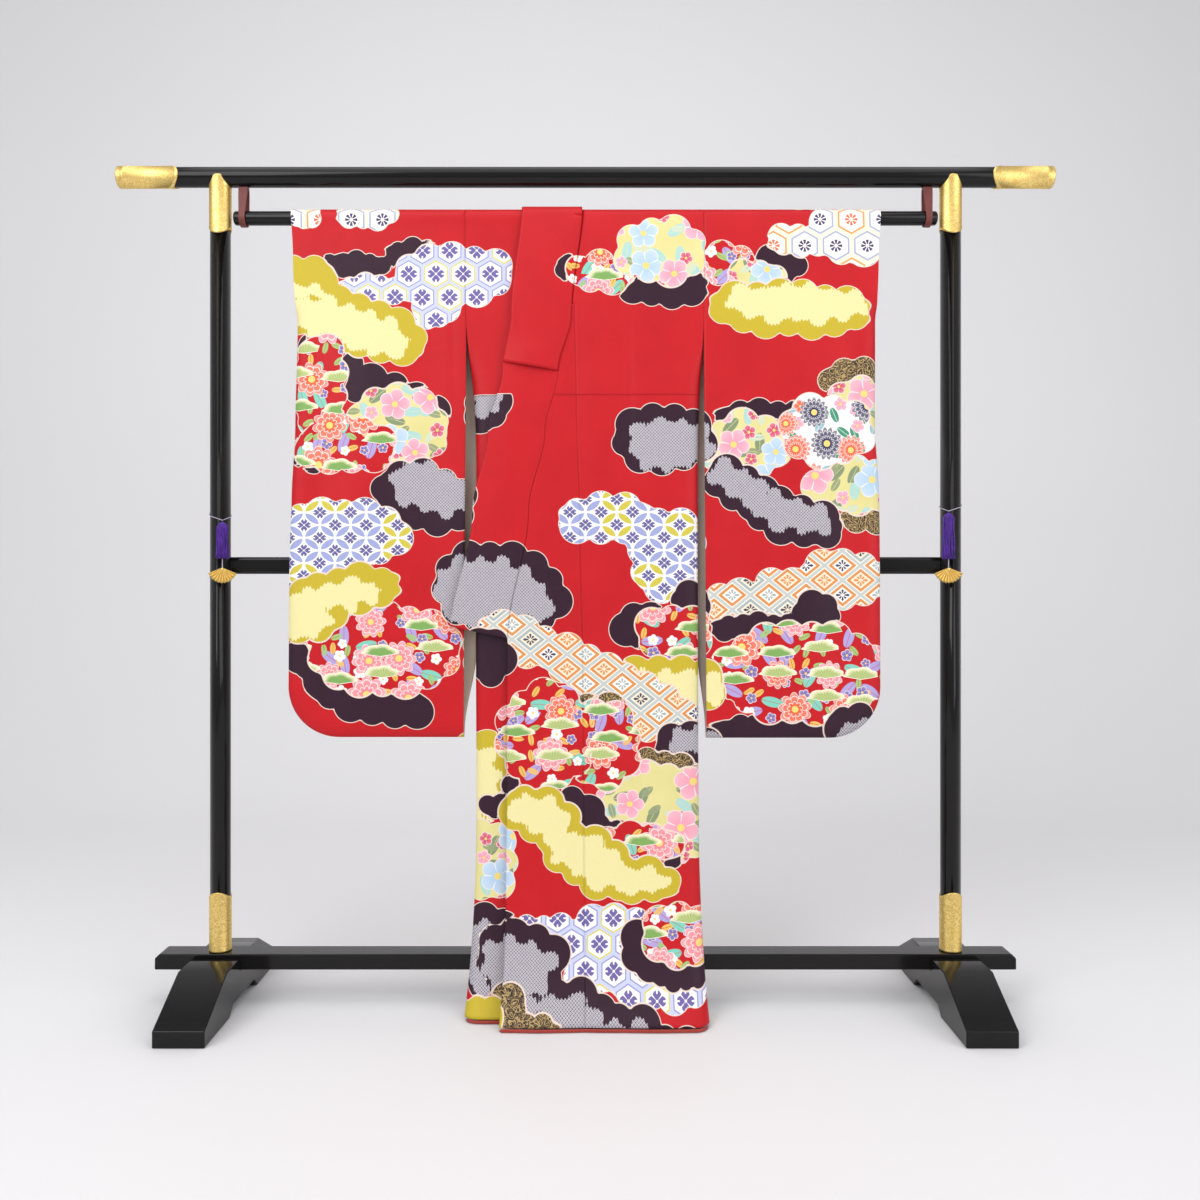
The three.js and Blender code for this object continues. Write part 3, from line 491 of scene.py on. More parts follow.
@dataclass(frozen=True)
class Cloud:
    """A scalloped cloud: an ellipse with round lobes set along its rim."""

    dye: Dye
    x: float
    z: float
    wide: float
    high: float
    tilt: float = 0.0
    lobe: float = 30.0
    low: float = -1e4
    top: float = 1e4
    lean: tuple[float, float] = (0.0, 0.0)

    def clip(self, v: Array) -> Array:
        """Returns how far within the cloud's lowest and highest lines each height is."""
        return np.minimum(v - self.low, self.top - v) + 2

    def depth(self, u: Array, v: Array) -> Array:
        """Returns how far inside the cloud each point lies, in millimetres."""
        return np.minimum(self.shape(u, v), self.clip(v))

    def toothed(self, u: Array, v: Array) -> Array:
        """Returns how far inside the toothed part each point lies: the cloud, smaller and moved by a lean."""
        moved = self.shape(u - self.lean[0], v - self.lean[1]) - TOOTH_RIM
        return np.minimum(np.minimum(moved, self.shape(u, v) - 3), self.clip(v))

    def shape(self, u: Array, v: Array) -> Array:
        """Returns the depth in the cloud before it is clipped: the most over its lobes and its core."""
        c, s = math.cos(self.tilt), math.sin(self.tilt)
        x, z = c * (u - self.x) + s * (v - self.z), c * (v - self.z) - s * (u - self.x)
        lobe = min(self.lobe, 0.62 * self.high)
        a, b = max(self.wide - lobe, 1.0), max(self.high - lobe, 1.0)
        count = max(5, round(math.pi * (3 * (a + b) - math.sqrt((3 * a + b) * (a + 3 * b))) / (1.5 * lobe)))
        fine = np.linspace(0, 2 * math.pi, 721)
        run = np.concatenate([[0], np.cumsum(np.hypot(np.diff(a * np.cos(fine)), np.diff(b * np.sin(fine))))])
        angle = np.interp((np.arange(count) + (self.x % 7) / 7) / count * run[-1], run, fine)
        share = np.hypot(x / a, z / b)
        inside = (1 - share) * np.maximum(share, 1e-3) / np.maximum(np.hypot(x / a**2, z / b**2), 1e-6)
        inside = np.minimum(inside, min(a, b)) + 0.6 * lobe
        for k, turn in enumerate(angle):
            size = lobe * (1 + 0.16 * math.sin(2.4 * k + self.x))
            inside = np.maximum(inside, size - np.hypot(x - a * math.cos(turn), z - b * math.sin(turn)))
        return inside


def clouds() -> list[Cloud]:
    """Returns every cloud of the front, from the lowest layer of dye to the highest, then the back's."""
    d = Dye
    above, below = {"low": TUCK}, {"top": TUCK}
    front = [
        # right sleeve
        Cloud(d.LANTERN, -556, 1566, 34, 30), Cloud(d.LANTERN, -434, 1568, 66, 32),
        Cloud(d.PLUM, -462, 1466, 76, 30), Cloud(d.PLUM, -336, 1490, 68, 32),
        Cloud(d.TORTOISE, -424, 1418, 78, 32), Cloud(d.TORTOISE, -300, 1376, 50, 38),
        Cloud(d.TORTOISE, -262, 1447, 128, 66), Cloud(d.PLUM, -505, 1295, 72, 50, -0.5),
        Cloud(d.PLUM, -376, 1196, 116, 58, -0.4), Cloud(d.YELLOW, -562, 1442, 76, 50, lean=(0, -40)),
        Cloud(d.YELLOW, -460, 1349, 160, 66, -0.3, lean=(-16, -3)), Cloud(d.PLUM, -540, 1092, 52, 38),
        Cloud(d.GARDEN, -528, 1226, 62, 112), Cloud(d.FLOWERS, -366, 1146, 106, 86, -0.3),
        Cloud(d.GARDEN, -474, 1108, 108, 60), Cloud(d.DOTS, -318, 1005, 112, 74, -0.25, lean=(18, 20)),
        Cloud(d.RINGS, -484, 930, 142, 76), Cloud(d.RINGS, -544, 872, 66, 62),
        Cloud(d.PLUM, -530, 684, 74, 44), Cloud(d.PLUM, -428, 612, 134, 56, -0.25),
        Cloud(d.GARDEN, -396, 704, 160, 96), Cloud(d.YELLOW, -540, 780, 76, 66, lean=(-14, -12)),
        Cloud(d.YELLOW, -466, 822, 110, 50, 0.12, lean=(-16, -10)),
        # left sleeve
        Cloud(d.PLUM, 384, 1468, 62, 42), Cloud(d.LANTERN, 424, 1515, 70, 36),
        Cloud(d.LANTERN, 524, 1527, 92, 66), Cloud(d.GARDEN, 276, 1468, 70, 44),
        Cloud(d.FLOWERS, 336, 1441, 62, 36), Cloud(d.YELLOW, 404, 1377, 168, 60, -0.04, lean=(14, 12)),
        Cloud(d.BROCADE, 532, 1240, 80, 42, 0.1), Cloud(d.PLUM, 354, 1160, 104, 40),
        Cloud(d.FLOWERS, 542, 1176, 74, 74), Cloud(d.BROCADE, 522, 976, 92, 42, -0.15),
        Cloud(d.FLOWERS, 522, 1028, 96, 62), Cloud(d.FLOWERS, 314, 1104, 90, 74),
        Cloud(d.BOUQUET, 474, 1136, 100, 76), Cloud(d.DOTS, 304, 1024, 84, 54, -0.5, lean=(-6, 9)),
        Cloud(d.DOTS, 404, 964, 114, 56, -0.3, lean=(-6, 9)), Cloud(d.DIAMONDS, 294, 793, 74, 50),
        Cloud(d.DIAMONDS, 404, 813, 92, 58), Cloud(d.DIAMONDS, 504, 843, 102, 62),
        Cloud(d.PLUM, 342, 747, 98, 32), Cloud(d.PLUM, 452, 779, 54, 42), Cloud(d.PLUM, 374, 548, 124, 34),
        Cloud(d.GARDEN, 424, 660, 180, 104), Cloud(d.DOTS, 524, 560, 62, 42, lean=(10, -14)),
        # body: shoulder and waist
        Cloud(d.PLUM, 158, 1420, 92, 44), Cloud(d.PLUM, -36, 1458, 26, 28), Cloud(d.GARDEN, 30, 1450, 76, 44),
        Cloud(d.FLOWERS, 150, 1494, 98, 72), Cloud(d.DOTS, -194, 1186, 50, 56, lean=(0, 14), **below),
        Cloud(d.DOTS, 152, 1120, 108, 74, lean=(14, -12), **below), Cloud(d.RINGS, 42, 962, 106, 54),
        Cloud(d.RINGS, 152, 926, 88, 60), Cloud(d.RINGS, 164, 854, 80, 56), Cloud(d.PLUM, 110, 752, 62, 52),
        Cloud(d.PLUM, 206, 800, 42, 40), Cloud(d.GARDEN, 172, 738, 80, 60),
        Cloud(d.YELLOW, 158, 636, 124, 62, lean=(18, -8)),
        Cloud(d.DOTS, -168, 822, 142, 98, -0.2, lean=(-18, -14)), Cloud(d.DIAMONDS, -128, 722, 98, 52, -0.3),
        Cloud(d.DIAMONDS, -10, 674, 100, 52, -0.4), Cloud(d.DIAMONDS, 108, 596, 120, 68, -0.45),
        # body: below the knee
        Cloud(d.PLUM, -190, 692, 54, 66), Cloud(d.YELLOW, -214, 458, 70, 96, lean=(0, -18)),
        Cloud(d.PLUM, -166, 396, 46, 28), Cloud(d.FLOWERS, -196, 292, 70, 84),
        Cloud(d.DOTS, -196, 128, 80, 88, lean=(0, -14)), Cloud(d.DOTS, 196, 520, 70, 50, lean=(12, 8)),
        Cloud(d.BROCADE, 146, 474, 88, 38, -0.2), Cloud(d.BROCADE, 30, 562, 70, 62, -0.6),
        Cloud(d.FLOWERS, 138, 382, 132, 108), Cloud(d.GARDEN, 30, 520, 84, 92),
        Cloud(d.PLUM, -108, 430, 62, 38, -0.3), Cloud(d.PLUM, -24, 392, 74, 46, -0.5),
        Cloud(d.PLUM, 60, 332, 88, 44, -0.35), Cloud(d.PLUM, 136, 298, 58, 32),
        Cloud(d.GARDEN, -78, 536, 102, 112), Cloud(d.GARDEN, 98, 326, 98, 44),
        Cloud(d.YELLOW, -88, 382, 88, 58, -0.4), Cloud(d.YELLOW, 10, 296, 118, 64, -0.5),
        Cloud(d.YELLOW, 106, 258, 86, 46, -0.1), Cloud(d.TORTOISE, -76, 162, 84, 34),
        Cloud(d.TORTOISE, 58, 148, 110, 68), Cloud(d.TORTOISE, 14, 92, 66, 44),
        Cloud(d.TORTOISE, 150, 74, 104, 46), Cloud(d.PLUM, 118, 132, 54, 60), Cloud(d.PLUM, 184, 86, 62, 26),
        Cloud(d.GARDEN, 178, 158, 74, 66), Cloud(d.DOTS, -124, 112, 94, 76, lean=(-10, -14)),
        Cloud(d.DOTS, -44, 0, 116, 88, lean=(-8, -8)), Cloud(d.DOTS, 62, -36, 132, 84, -0.1, lean=(-8, -6)),
        Cloud(d.DOTS, 150, -64, 116, 76, lean=(-6, -6)), Cloud(d.BROCADE, -148, 34, 38, 44),
        Cloud(d.BROCADE, -106, -2, 66, 32), Cloud(d.YELLOW, -200, 14, 52, 34, lean=(0, 60)),
    ]
    behind = [
        replace(
            cloud,
            x=-cloud.x + 18 * math.sin(cloud.z),
            z=OVER - cloud.z,
            low=OVER - cloud.top,
            top=OVER - cloud.low,
            lean=(-cloud.lean[0], -cloud.lean[1]),
        )
        for cloud in front
    ]
    return front + behind


def dye_depths(u: Array, v: Array) -> dict[str, Array]:
    """Works out how far inside each dye's clouds the points lie, with later clouds over earlier ones.

    Clouds of one dye that follow each other in the list join into one bank.

    Args:
        u: across the flat cloth, in millimetres.
        v: up the flat cloth, over the shoulder and on.

    Returns:
        The depth for each dye, above 0 where it shows, and for the toothed parts.
    """
    outside = np.full(u.shape, FAR_OUTSIDE)
    found = {name: outside for name in [*(dye.value for dye in Dye), "toothed"]}
    covered = outside
    for dye, bank in groupby(reversed(clouds()), key=lambda cloud: cloud.dye):
        inside, toothed = outside.copy(), outside.copy()
        for cloud in bank:
            reach = cloud.wide + cloud.high + 60
            near = (np.abs(u - cloud.x) < reach) & (np.abs(v - cloud.z) < reach)
            if near.any():
                inside[near] = np.maximum(inside[near], cloud.depth(u[near], v[near]))
                if dye in (Dye.DOTS, Dye.YELLOW):
                    toothed[near] = np.maximum(toothed[near], cloud.toothed(u[near], v[near]))
        found[dye.value] = np.maximum(found[dye.value], np.minimum(inside, -covered))
        found["toothed"] = np.maximum(found["toothed"], np.minimum(toothed, -covered))
        covered = np.maximum(covered, inside)
    return found


# ---------------------------------------------------------------- meshes
@dataclass
class Grid:
    """A stretch of cloth: points in millimetres on rows and columns, and where they lie on the flat cloth."""

    points: Array
    flat: Array

    @staticmethod
    def of(heights: Array, shares: Array, x: Callable, y: Callable, flat: Callable) -> Grid:
        """Makes a grid from functions of a share across and a height.

        Args:
            heights: the rows' heights.
            shares: the columns' shares, from 0 to 1.
            x: gives X from share and height.
            y: gives Y from X and height.
            flat: gives the flat cloth's (u, v) from X and height.

        Returns:
            The grid.
        """
        share, height = np.meshgrid(shares, heights)
        across = x(share, height)
        return Grid.laid(np.stack([across, y(across, height), height], -1), flat)

    @staticmethod
    def laid(points: Array, flat: Callable) -> Grid:
        """Makes a grid from its points and what gives the flat cloth's (u, v) from X and height."""
        return Grid(points, np.stack(flat(points[..., 0], points[..., 2]), -1))


def quads_of(rows_count: int, columns: int) -> Array:
    """Returns the quads of a grid of points that are numbered row by row."""
    k = np.arange(rows_count * columns).reshape(rows_count, columns)
    return np.stack([k[:-1, :-1], k[:-1, 1:], k[1:, 1:], k[1:, :-1]], -1).reshape(-1, 4)


def lies_in_front(x: Array, height: Array) -> tuple[Array, Array]:
    """Returns the flat cloth's (u, v) of the front: its own X and Z."""
    return x, height


def lies_behind(x: Array, height: Array) -> tuple[Array, Array]:
    """Returns the flat cloth's (u, v) of the back: v goes on up over the shoulder."""
    return x, OVER - height


def over_rod(x: Array, radius: float, steps: int = 12) -> Grid:
    """Makes the half turn over the rod: a half circle in Y and Z carried along X.

    Args:
        x: X of each column.
        radius: the cloth's own radius.
        steps: how many steps the turn has.

    Returns:
        The grid, from the front's top row to the back's.
    """
    angle = np.linspace(0, math.pi, steps + 1)[:, None]
    across = np.broadcast_to(x, (steps + 1, len(x)))
    y = np.broadcast_to(-radius * np.cos(angle), across.shape)
    z = np.broadcast_to(ROD_HEIGHT + radius * np.sin(angle), across.shape)
    v = np.broadcast_to(ROD_HEIGHT + SHOULDER_RADIUS * angle, across.shape)
    return Grid(np.stack([across, y, z], -1), np.stack([across, v], -1))


def link_piece(name: str, mesh: bpy.types.Mesh, slot: str, *replaced: str) -> bpy.types.Object:
    """Puts a mesh in the scene as a piece that rides with the part.

    Args:
        name: the piece's name.
        mesh: its mesh, in metres.
        slot: the material slot that it takes its finish from.
        replaced: the solids that it stands for.

    Returns:
        The piece's object.
    """
    piece = bpy.data.objects.new(name, mesh)
    bpy.context.scene.collection.objects.link(piece)
    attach(piece, "root")
    if replaced:
        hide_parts(*replaced)
    LOG.info("%s: %d faces", name, len(mesh.polygons))
    return piece


def mesh_of(name: str, points: Array, faces: Sequence[Face] | Array) -> bpy.types.Mesh:
    """Makes a smooth mesh, in metres, from vertices in millimetres and faces."""
    mesh = bpy.data.meshes.new(name)
    mesh.from_pydata((points * MM).tolist(), [], faces.tolist() if isinstance(faces, Array) else faces)
    mesh.shade_smooth()
    return mesh


def flat_map(mesh: bpy.types.Mesh, corners: Array) -> None:
    """Gives a mesh its flat cloth's (u, v), in millimetres, at each face corner."""
    layer = mesh.uv_layers.new(name="cloth")
    layer.data.foreach_set("uv", (corners * MM).astype(np.float32).ravel())


class Cloth:
    """One sewn piece: grids joined where they share points, dyed, and given its thickness."""

    def __init__(self, node: str, grids: Sequence[Grid], thickness: float, turned: bool = False) -> None:
        """Joins the grids.

        Args:
            node: the solid that it stands for.
            grids: its stretches of cloth, each wound the same way.
            thickness: the wall, in millimetres.
            turned: whether the faces are turned over to face outwards.
        """
        self.node, self.thickness = node, thickness
        points = np.concatenate([g.points.reshape(-1, 3) for g in grids])
        flat = np.concatenate([g.flat.reshape(-1, 2) for g in grids])
        quads, start = [], 0
        for grid in grids:
            rows_count, columns = grid.points.shape[:2]
            quads.append(start + quads_of(rows_count, columns))
            start += rows_count * columns
        quads = np.concatenate(quads)
        keys = np.round(points * 200).astype(np.int64)
        _, first, number = np.unique(keys, axis=0, return_index=True, return_inverse=True)
        joined = number.reshape(-1)[quads]
        if turned:
            joined, quads = joined[:, ::-1], quads[:, ::-1]
        self.points, self.faces, self.corners = points[first], joined, flat[quads]

    def piece(self, *finishes: bpy.types.Material) -> bpy.types.Object:
        """Makes the piece, with its finishes for the outside, the inside and the edge."""
        mesh = mesh_of(f"{self.node}_silk", self.points, self.faces)
        flat_map(mesh, self.corners)
        corners = self.corners.reshape(-1, 2)
        for name, depth in dye_depths(corners[:, 0], corners[:, 1]).items():
            kind = "CORNER"
            if depth.max() <= -2:
                kind, depth = "POINT", np.full(len(self.points), FAR_OUTSIDE)
            mesh.attributes.new(name, "FLOAT", kind).data.foreach_set("value", depth.astype(np.float32))
        for finish in finishes:
            mesh.materials.append(finish)
        piece = link_piece(mesh.name, mesh, "red_silk", self.node)
        wall = piece.modifiers.new("wall", "SOLIDIFY")
        wall.thickness, wall.offset = self.thickness * MM, 0
        wall.material_offset, wall.material_offset_rim = 1, 2
        return piece


# ---------------------------------------------------------------- finishes
# the dyes' colours
PLUM, PLUM_CLOUDED = srgb(38, 9, 28), srgb(52, 15, 40)
OUTLINE = srgb(238, 222, 208)
WHITE, CREAM = srgb(246, 240, 236), srgb(236, 226, 160)
PINK, ROSE, ORANGE, NAVY = srgb(240, 158, 178), srgb(210, 64, 102), srgb(234, 92, 44), srgb(34, 36, 88)
HEART = srgb(240, 214, 120)
FULL_TURN = 6.28
SLANT = 0.7071  # the cosine of 45 degrees
HEXAGON = 0.866  # the cosine of 30 degrees


@dataclass
class Bloom:
    """One sort of flower strewn over the cloth: masks to paint it with."""

    body: Signal
    lines: Signal
    heart: Signal
    reach: Signal
    luck: tuple[Signal, Signal, Signal]


@dataclass(frozen=True)
class Silk:
    """Dyed crepe silk: a red ground with the dyes' clouds, a fine weave and, on the body, the tuck's seam."""

    name: str
    tuck_groove_and_shade: bool = False

    def net(
        self, r: Recipe, a: Signal, b: Signal, loose: float
    ) -> tuple[Signal, Signal, tuple[Signal, Signal, Signal]]:
        """Lays a loose net over the cloth, with one cell to each whole step of a and b.

        Args:
            r: the material being mixed.
            a: across the cloth, in cells.
            b: up the cloth, in cells.
            loose: how far each cell's middle may stray, from 0 to 1.

        Returns:
            How far each point lies across and up from its cell's middle, and three chance shares.
        """
        cells = r.node(
            "TexVoronoi",
            {"voronoi_dimensions": "2D"},
            {"Vector": r.vector(a, b), "Scale": 1.0, "Randomness": loose},
        )
        middle_a, middle_b, _ = r.parts(r.out(cells, "Position"))
        return a - middle_a, b - middle_b, r.parts(r.out(cells, "Color"))

    def blooms(
        self,
        r: Recipe,
        u: Signal,
        v: Signal,
        pitch: float,
        size: float,
        petals: int,
        seed: float,
        bare: float = 0.0,
    ) -> Bloom:
        """Strews flowers, one in each cell of a loose net.

        The outline's radius is a share of the size, larger at each petal's middle, by the cosine of the angle
        times half the petals. Flowers of many petals also have two scalloped rings inside.

        Args:
            r: the material being mixed.
            u: across the cloth, in millimetres.
            v: up the cloth.
            pitch: from one flower to the next.
            size: the largest radius.
            petals: how many petals.
            seed: moves the net.
            bare: the share of cells left without a flower.

        Returns:
            The flowers' masks.
        """
        x, y, luck = self.net(r, u / pitch + seed, v / pitch + 1.7 * seed, 0.62)
        x, y = x * pitch, y * pitch
        away = (x * x + y * y).root()
        radius = size * (luck[1] * 0.3 + 0.72)
        wave = abs(((r.math("ARCTAN2", y, x) + luck[0] * FULL_TURN) * (petals / 2)).cosine())
        inside = radius * (wave * 0.26 + 0.76) - away - (luck[0] < bare) * 2 * size
        spokes = (wave < 0.14) * (away > radius * 0.3)
        if petals > 8:
            ring = abs((away / radius * 3.2 - wave * 0.5).wrapped(1.0)) < 0.09
            spokes = spokes.most(ring)
        lines = spokes.most(inside < 1.3) * (inside > 0)
        return Bloom(inside.edge(0.4), lines, (away < radius * 0.2) * (inside > 0), away / radius, luck)

    def painted(
        self, r: Recipe, under: Paint, bloom: Bloom, one: Colour, two: Colour, line: Colour = WHITE
    ) -> Signal:
        """Returns a colour with flowers of two colours over it, yellow-hearted and finely outlined."""
        petals = r.mix(bloom.reach * bloom.reach * 0.3, r.mix(bloom.luck[2] > 0.5, one, two), line)
        flower = r.mix(bloom.heart, r.mix(bloom.lines * 0.8, petals, line), HEART)
        return r.mix(bloom.body, under, flower)

    def leaves(
        self,
        r: Recipe,
        under: Paint,
        u: Signal,
        v: Signal,
        pitch: float,
        seed: float,
        split: float,
        tints: tuple[Colour, Colour],
        bare: float | None = None,
    ) -> Signal:
        """Paints leaves of two colours over a colour, each an ellipse turned by chance in a net's cell.

        Args:
            r: the material being mixed.
            under: the colour below.
            u: across the cloth, in millimetres.
            v: up the cloth.
            pitch: from one leaf to the next.
            seed: moves the net.
            split: the share of leaves in the first colour.
            tints: the two colours.
            bare: the share of cells left without a leaf.

        Returns:
            The colour.
        """
        x, y, luck = self.net(r, u / pitch + seed, v / pitch - seed, 0.8)
        turn = luck[0] * FULL_TURN
        long, wide = x * turn.cosine() + y * turn.sine(), y * turn.cosine() - x * turn.sine()
        vein = abs(wide) * pitch < 0.6
        leaf = (1 - (long * long * 6.6 + wide * wide * 30).root()).edge(0.04) * (1 - vein * 0.7)
        if bare is not None:
            leaf = leaf * (luck[1] > bare)
        return r.mix(leaf, under, r.mix(luck[1] > split, *tints))

    def boughs(self, r: Recipe, under: Paint, u: Signal, v: Signal, pitch: float, seed: float) -> Signal:
        """Paints pine boughs over a colour: upper halves of ovals, rayed in green and pale at their rims."""
        flat = 0.62
        x, y, luck = self.net(r, u / pitch + seed, v / (pitch * flat) + seed, 0.55)
        x, y = x * pitch, y * pitch * flat + pitch * 0.1
        long, tall = pitch * 0.46, pitch * 0.27
        turn = r.math("ARCTAN2", y / tall, x / long)
        away = (x * x / long**2 + y * y / tall**2).root() * (1.14 - abs((turn * 3.5).sine()) * 0.14)
        rays = abs((turn * 13).cosine()) > 0.82
        tone = r.mix(luck[1] > 0.5, srgb(134, 176, 92), srgb(192, 204, 128))
        green = r.mix(rays * 0.45, tone, srgb(82, 134, 84))
        green = r.mix((away - 0.74).edge(0.12), green, srgb(236, 230, 188))
        foot = y - abs(x) * 0.16 + long * 0.06
        shape = (1 - away).edge(0.03) * (foot > 0.3) * (luck[0] > 0.4)
        return r.mix(shape, under, r.mix((away > 0.94).most(foot < 1.4), green, srgb(250, 244, 226)))

    def nearer(
        self, u: Signal, v: Signal, wide: float, tall: float
    ) -> tuple[Signal, Signal, tuple[Signal, Signal]]:
        """Finds each point's place in the nearer of two nets of cells, set half a cell over from each other.

        Args:
            u: across the cloth.
            v: up the cloth.
            wide: a cell's width.
            tall: a cell's height.

        Returns:
            The place across and up from the nearer middle, and the squared distances from both nets' middles.
        """
        ax, ay = u.wrapped(wide), v.wrapped(tall)
        bx, by = (u + wide / 2).wrapped(wide), (v + tall / 2).wrapped(tall)
        one, two = ax * ax + ay * ay, bx * bx + by * by
        first = one < two
        return bx + first * (ax - bx), by + first * (ay - by), (one, two)

    def hexagons(self, u: Signal, v: Signal, width: float) -> tuple[Signal, Signal, Signal]:
        """Returns the distance in from the edge of hexagons that fill the cloth, and the place in each."""
        x, y, _ = self.nearer(u, v, width, width * math.sqrt(3))
        return width / 2 - abs(x).most(abs(x) * 0.5 + abs(y) * HEXAGON), x, y

    def crest(self, r: Recipe, under: Paint, x: Signal, y: Signal, size: float, tint: Colour) -> Signal:
        """Paints a flower of four notched petals over a colour, about the point where x and y are 0."""
        away = (x * x + y * y).root()
        petal = abs((r.math("ARCTAN2", y, x) * 2.0).cosine())
        body = (size * (petal * 0.3 + 0.7) - away).edge(0.4) * (petal > 0.2) * (away > size * 0.14)
        notch = (petal > 0.975) * (away > size * 0.66)
        return r.mix(body * (1 - notch), under, tint)

    def tortoise(self, r: Recipe, u: Signal, v: Signal) -> Signal:
        """Tortoiseshell: white hexagons in lavender bands, some rimmed in yellow, with a flower in each."""
        edge, x, y = self.hexagons(u, v, 54)
        luck = r.noise(r.vector((u - x) * 0.13, (v - y) * 0.17), 1.0, 0)
        rim = r.mix(luck > 0.58, srgb(158, 158, 206), srgb(222, 208, 84))
        colour = r.mix(edge < 5.8, srgb(251, 248, 249), rim)
        colour = r.mix(edge < 3.2, colour, srgb(202, 208, 236))
        return self.crest(r, colour, x, y, 17, srgb(112, 100, 162))

    def rings(self, r: Recipe, u: Signal, v: Signal) -> Signal:
        """Linked rings that overlap by a quarter, so that each is four pointed ovals round a star."""
        radius, stretch = 25.0, 0.81
        u = u * stretch
        x, y, (one, two) = self.nearer(u, v, 2 * radius, 2 * radius)
        lens = (radius - one.root()).least(radius - two.root())
        luck = r.noise(r.vector(u.cell(2 * radius) * 3.7, v.cell(2 * radius) * 5.3), 1.0, 0)
        oval = r.mix(luck > 0.56, srgb(158, 166, 210), srgb(208, 194, 72))
        colour = r.mix((lens - 1.7).edge(0.4), srgb(250, 247, 247), oval)
        return self.crest(r, colour, x * 1.1, y, 12, srgb(104, 98, 152))

    def diamonds(self, r: Recipe, u: Signal, v: Signal) -> Signal:
        """Nested diamonds: bands of pale, orange, white, grey and navy, counted from each one's edge."""
        wide, tall = 72.0, 58.0
        t = abs(u.wrapped(wide)) / (wide / 2) + abs(v.wrapped(tall)) / (tall / 2)
        odd = t > 1
        deep = t.least(2 - t)
        x = u.wrapped(wide) + odd * ((u + wide / 2).wrapped(wide) - u.wrapped(wide))
        y = v.wrapped(tall) + odd * ((v + tall / 2).wrapped(tall) - v.wrapped(tall))
        rays = abs((r.math("ARCTAN2", y, x) * 4).cosine()) > 0.55
        luck = r.noise(r.vector((u - x) * 0.11, (v - y) * 0.13), 1.0, 0) > 0.5
        warm, cool = srgb(222, 144, 76), srgb(168, 178, 178)
        colour = r.mix(deep < 0.88, srgb(196, 200, 196), srgb(240, 236, 222))
        colour = r.mix((deep < 0.78) * (deep > 0.56), colour, r.mix(odd, warm, r.mix(luck, cool, warm)))
        colour = r.mix(deep < 0.5, colour, r.mix(odd, srgb(246, 242, 236), srgb(238, 226, 196)))
        star = (deep < 0.4) * (deep > 0.12) * rays
        return r.mix(star, colour, r.mix(luck, srgb(66, 62, 92), r.mix(odd, cool, warm)))

    def teeth(self, r: Recipe, u: Signal, v: Signal, toothed: Signal) -> Signal:
        """Returns where the toothed part is, its line cut in small upright teeth, as resist dyeing is."""
        comb = abs(u.wrapped(7)) * 1.1 + abs((u + v * 0.3).wrapped(41)) * 0.18
        return (toothed + comb + r.noise(r.vector(u, v), 0.03, 1) * 12 - 9.5).edge(0.6)

    def dots(self, r: Recipe, u: Signal, v: Signal, toothed: Signal) -> Signal:
        """Tie-dyed dots: pale squares on the slant with a dark speck in each, inside the toothed rim."""
        a, b, pitch = (u + v) * SLANT, (u - v) * SLANT, 4.4
        square = abs(a.wrapped(pitch)).most(abs(b.wrapped(pitch)))
        pale = (square < 1.8) * (square > 0.5)
        inner = r.mix(pale, srgb(66, 50, 66), srgb(206, 201, 208))
        return r.mix(self.teeth(r, u, v, toothed), self.plum(r, u, v), inner)

    def plum(self, r: Recipe, u: Signal, v: Signal) -> Signal:
        """Plum, slightly clouded."""
        return r.mix(r.noise(r.vector(u, v), 0.03, 2), PLUM, PLUM_CLOUDED)

    def yellow(self, r: Recipe, u: Signal, v: Signal, toothed: Signal) -> Signal:
        """Pale yellow inside a toothed rim of a deeper one."""
        grain = r.noise(r.vector(u, v), 0.4, 2)
        pale = r.mix(grain, srgb(230, 217, 142), srgb(242, 234, 180))
        return r.mix(self.teeth(r, u, v, toothed), r.mix(grain, srgb(192, 168, 34), srgb(206, 184, 50)), pale)

    def brocade(self, r: Recipe, u: Signal, v: Signal) -> Signal:
        """Brocade: gold scrolls on a dark ground, along the level lines of a slow noise."""
        level = (r.noise(r.vector(u, v), 0.05, 2, 0.4) * 9).wrapped(1.0)
        fine = (r.noise(r.vector(u + 90, v), 0.13, 1) * 7).wrapped(1.0)
        gold = (abs(level) < 0.13).most(abs(fine) < 0.1)
        return r.mix(gold, srgb(52, 36, 38), srgb(184, 156, 98))

    def lantern(self, r: Recipe, u: Signal, v: Signal) -> Signal:
        """Larger hexagons, banded in orange or grey blue, with a rayed star in each."""
        edge, x, y = self.hexagons(u, v, 62)
        luck = r.noise(r.vector((u - x) * 0.13, (v - y) * 0.17), 1.0, 0) > 0.5
        tint = r.mix(luck, srgb(238, 158, 84), srgb(168, 176, 206))
        colour = r.mix(edge < 8, srgb(249, 243, 232), tint)
        colour = r.mix(edge < 4.5, colour, srgb(244, 232, 208))
        rays = abs((r.math("ARCTAN2", y, x) * 4).cosine()) > 0.5
        away = x * x + y * y
        star = (away < 150) * (away > 12) * rays
        return r.mix(star, colour, r.mix(luck, srgb(228, 112, 76), srgb(70, 64, 110)))

    def bouquet(self, r: Recipe, u: Signal, v: Signal) -> Signal:
        """Large many-petalled flowers with smaller ones and leaves on white."""
        colour = self.leaves(r, WHITE, u, v, 40, 3.0, 0.5, (srgb(64, 150, 116), srgb(150, 190, 200)))
        colour = self.painted(r, colour, self.blooms(r, u, v, 40, 15, 5, 4.0, 0.4), ORANGE, PINK)
        return self.painted(r, colour, self.blooms(r, u, v, 74, 34, 16, 5.0), NAVY, ORANGE)

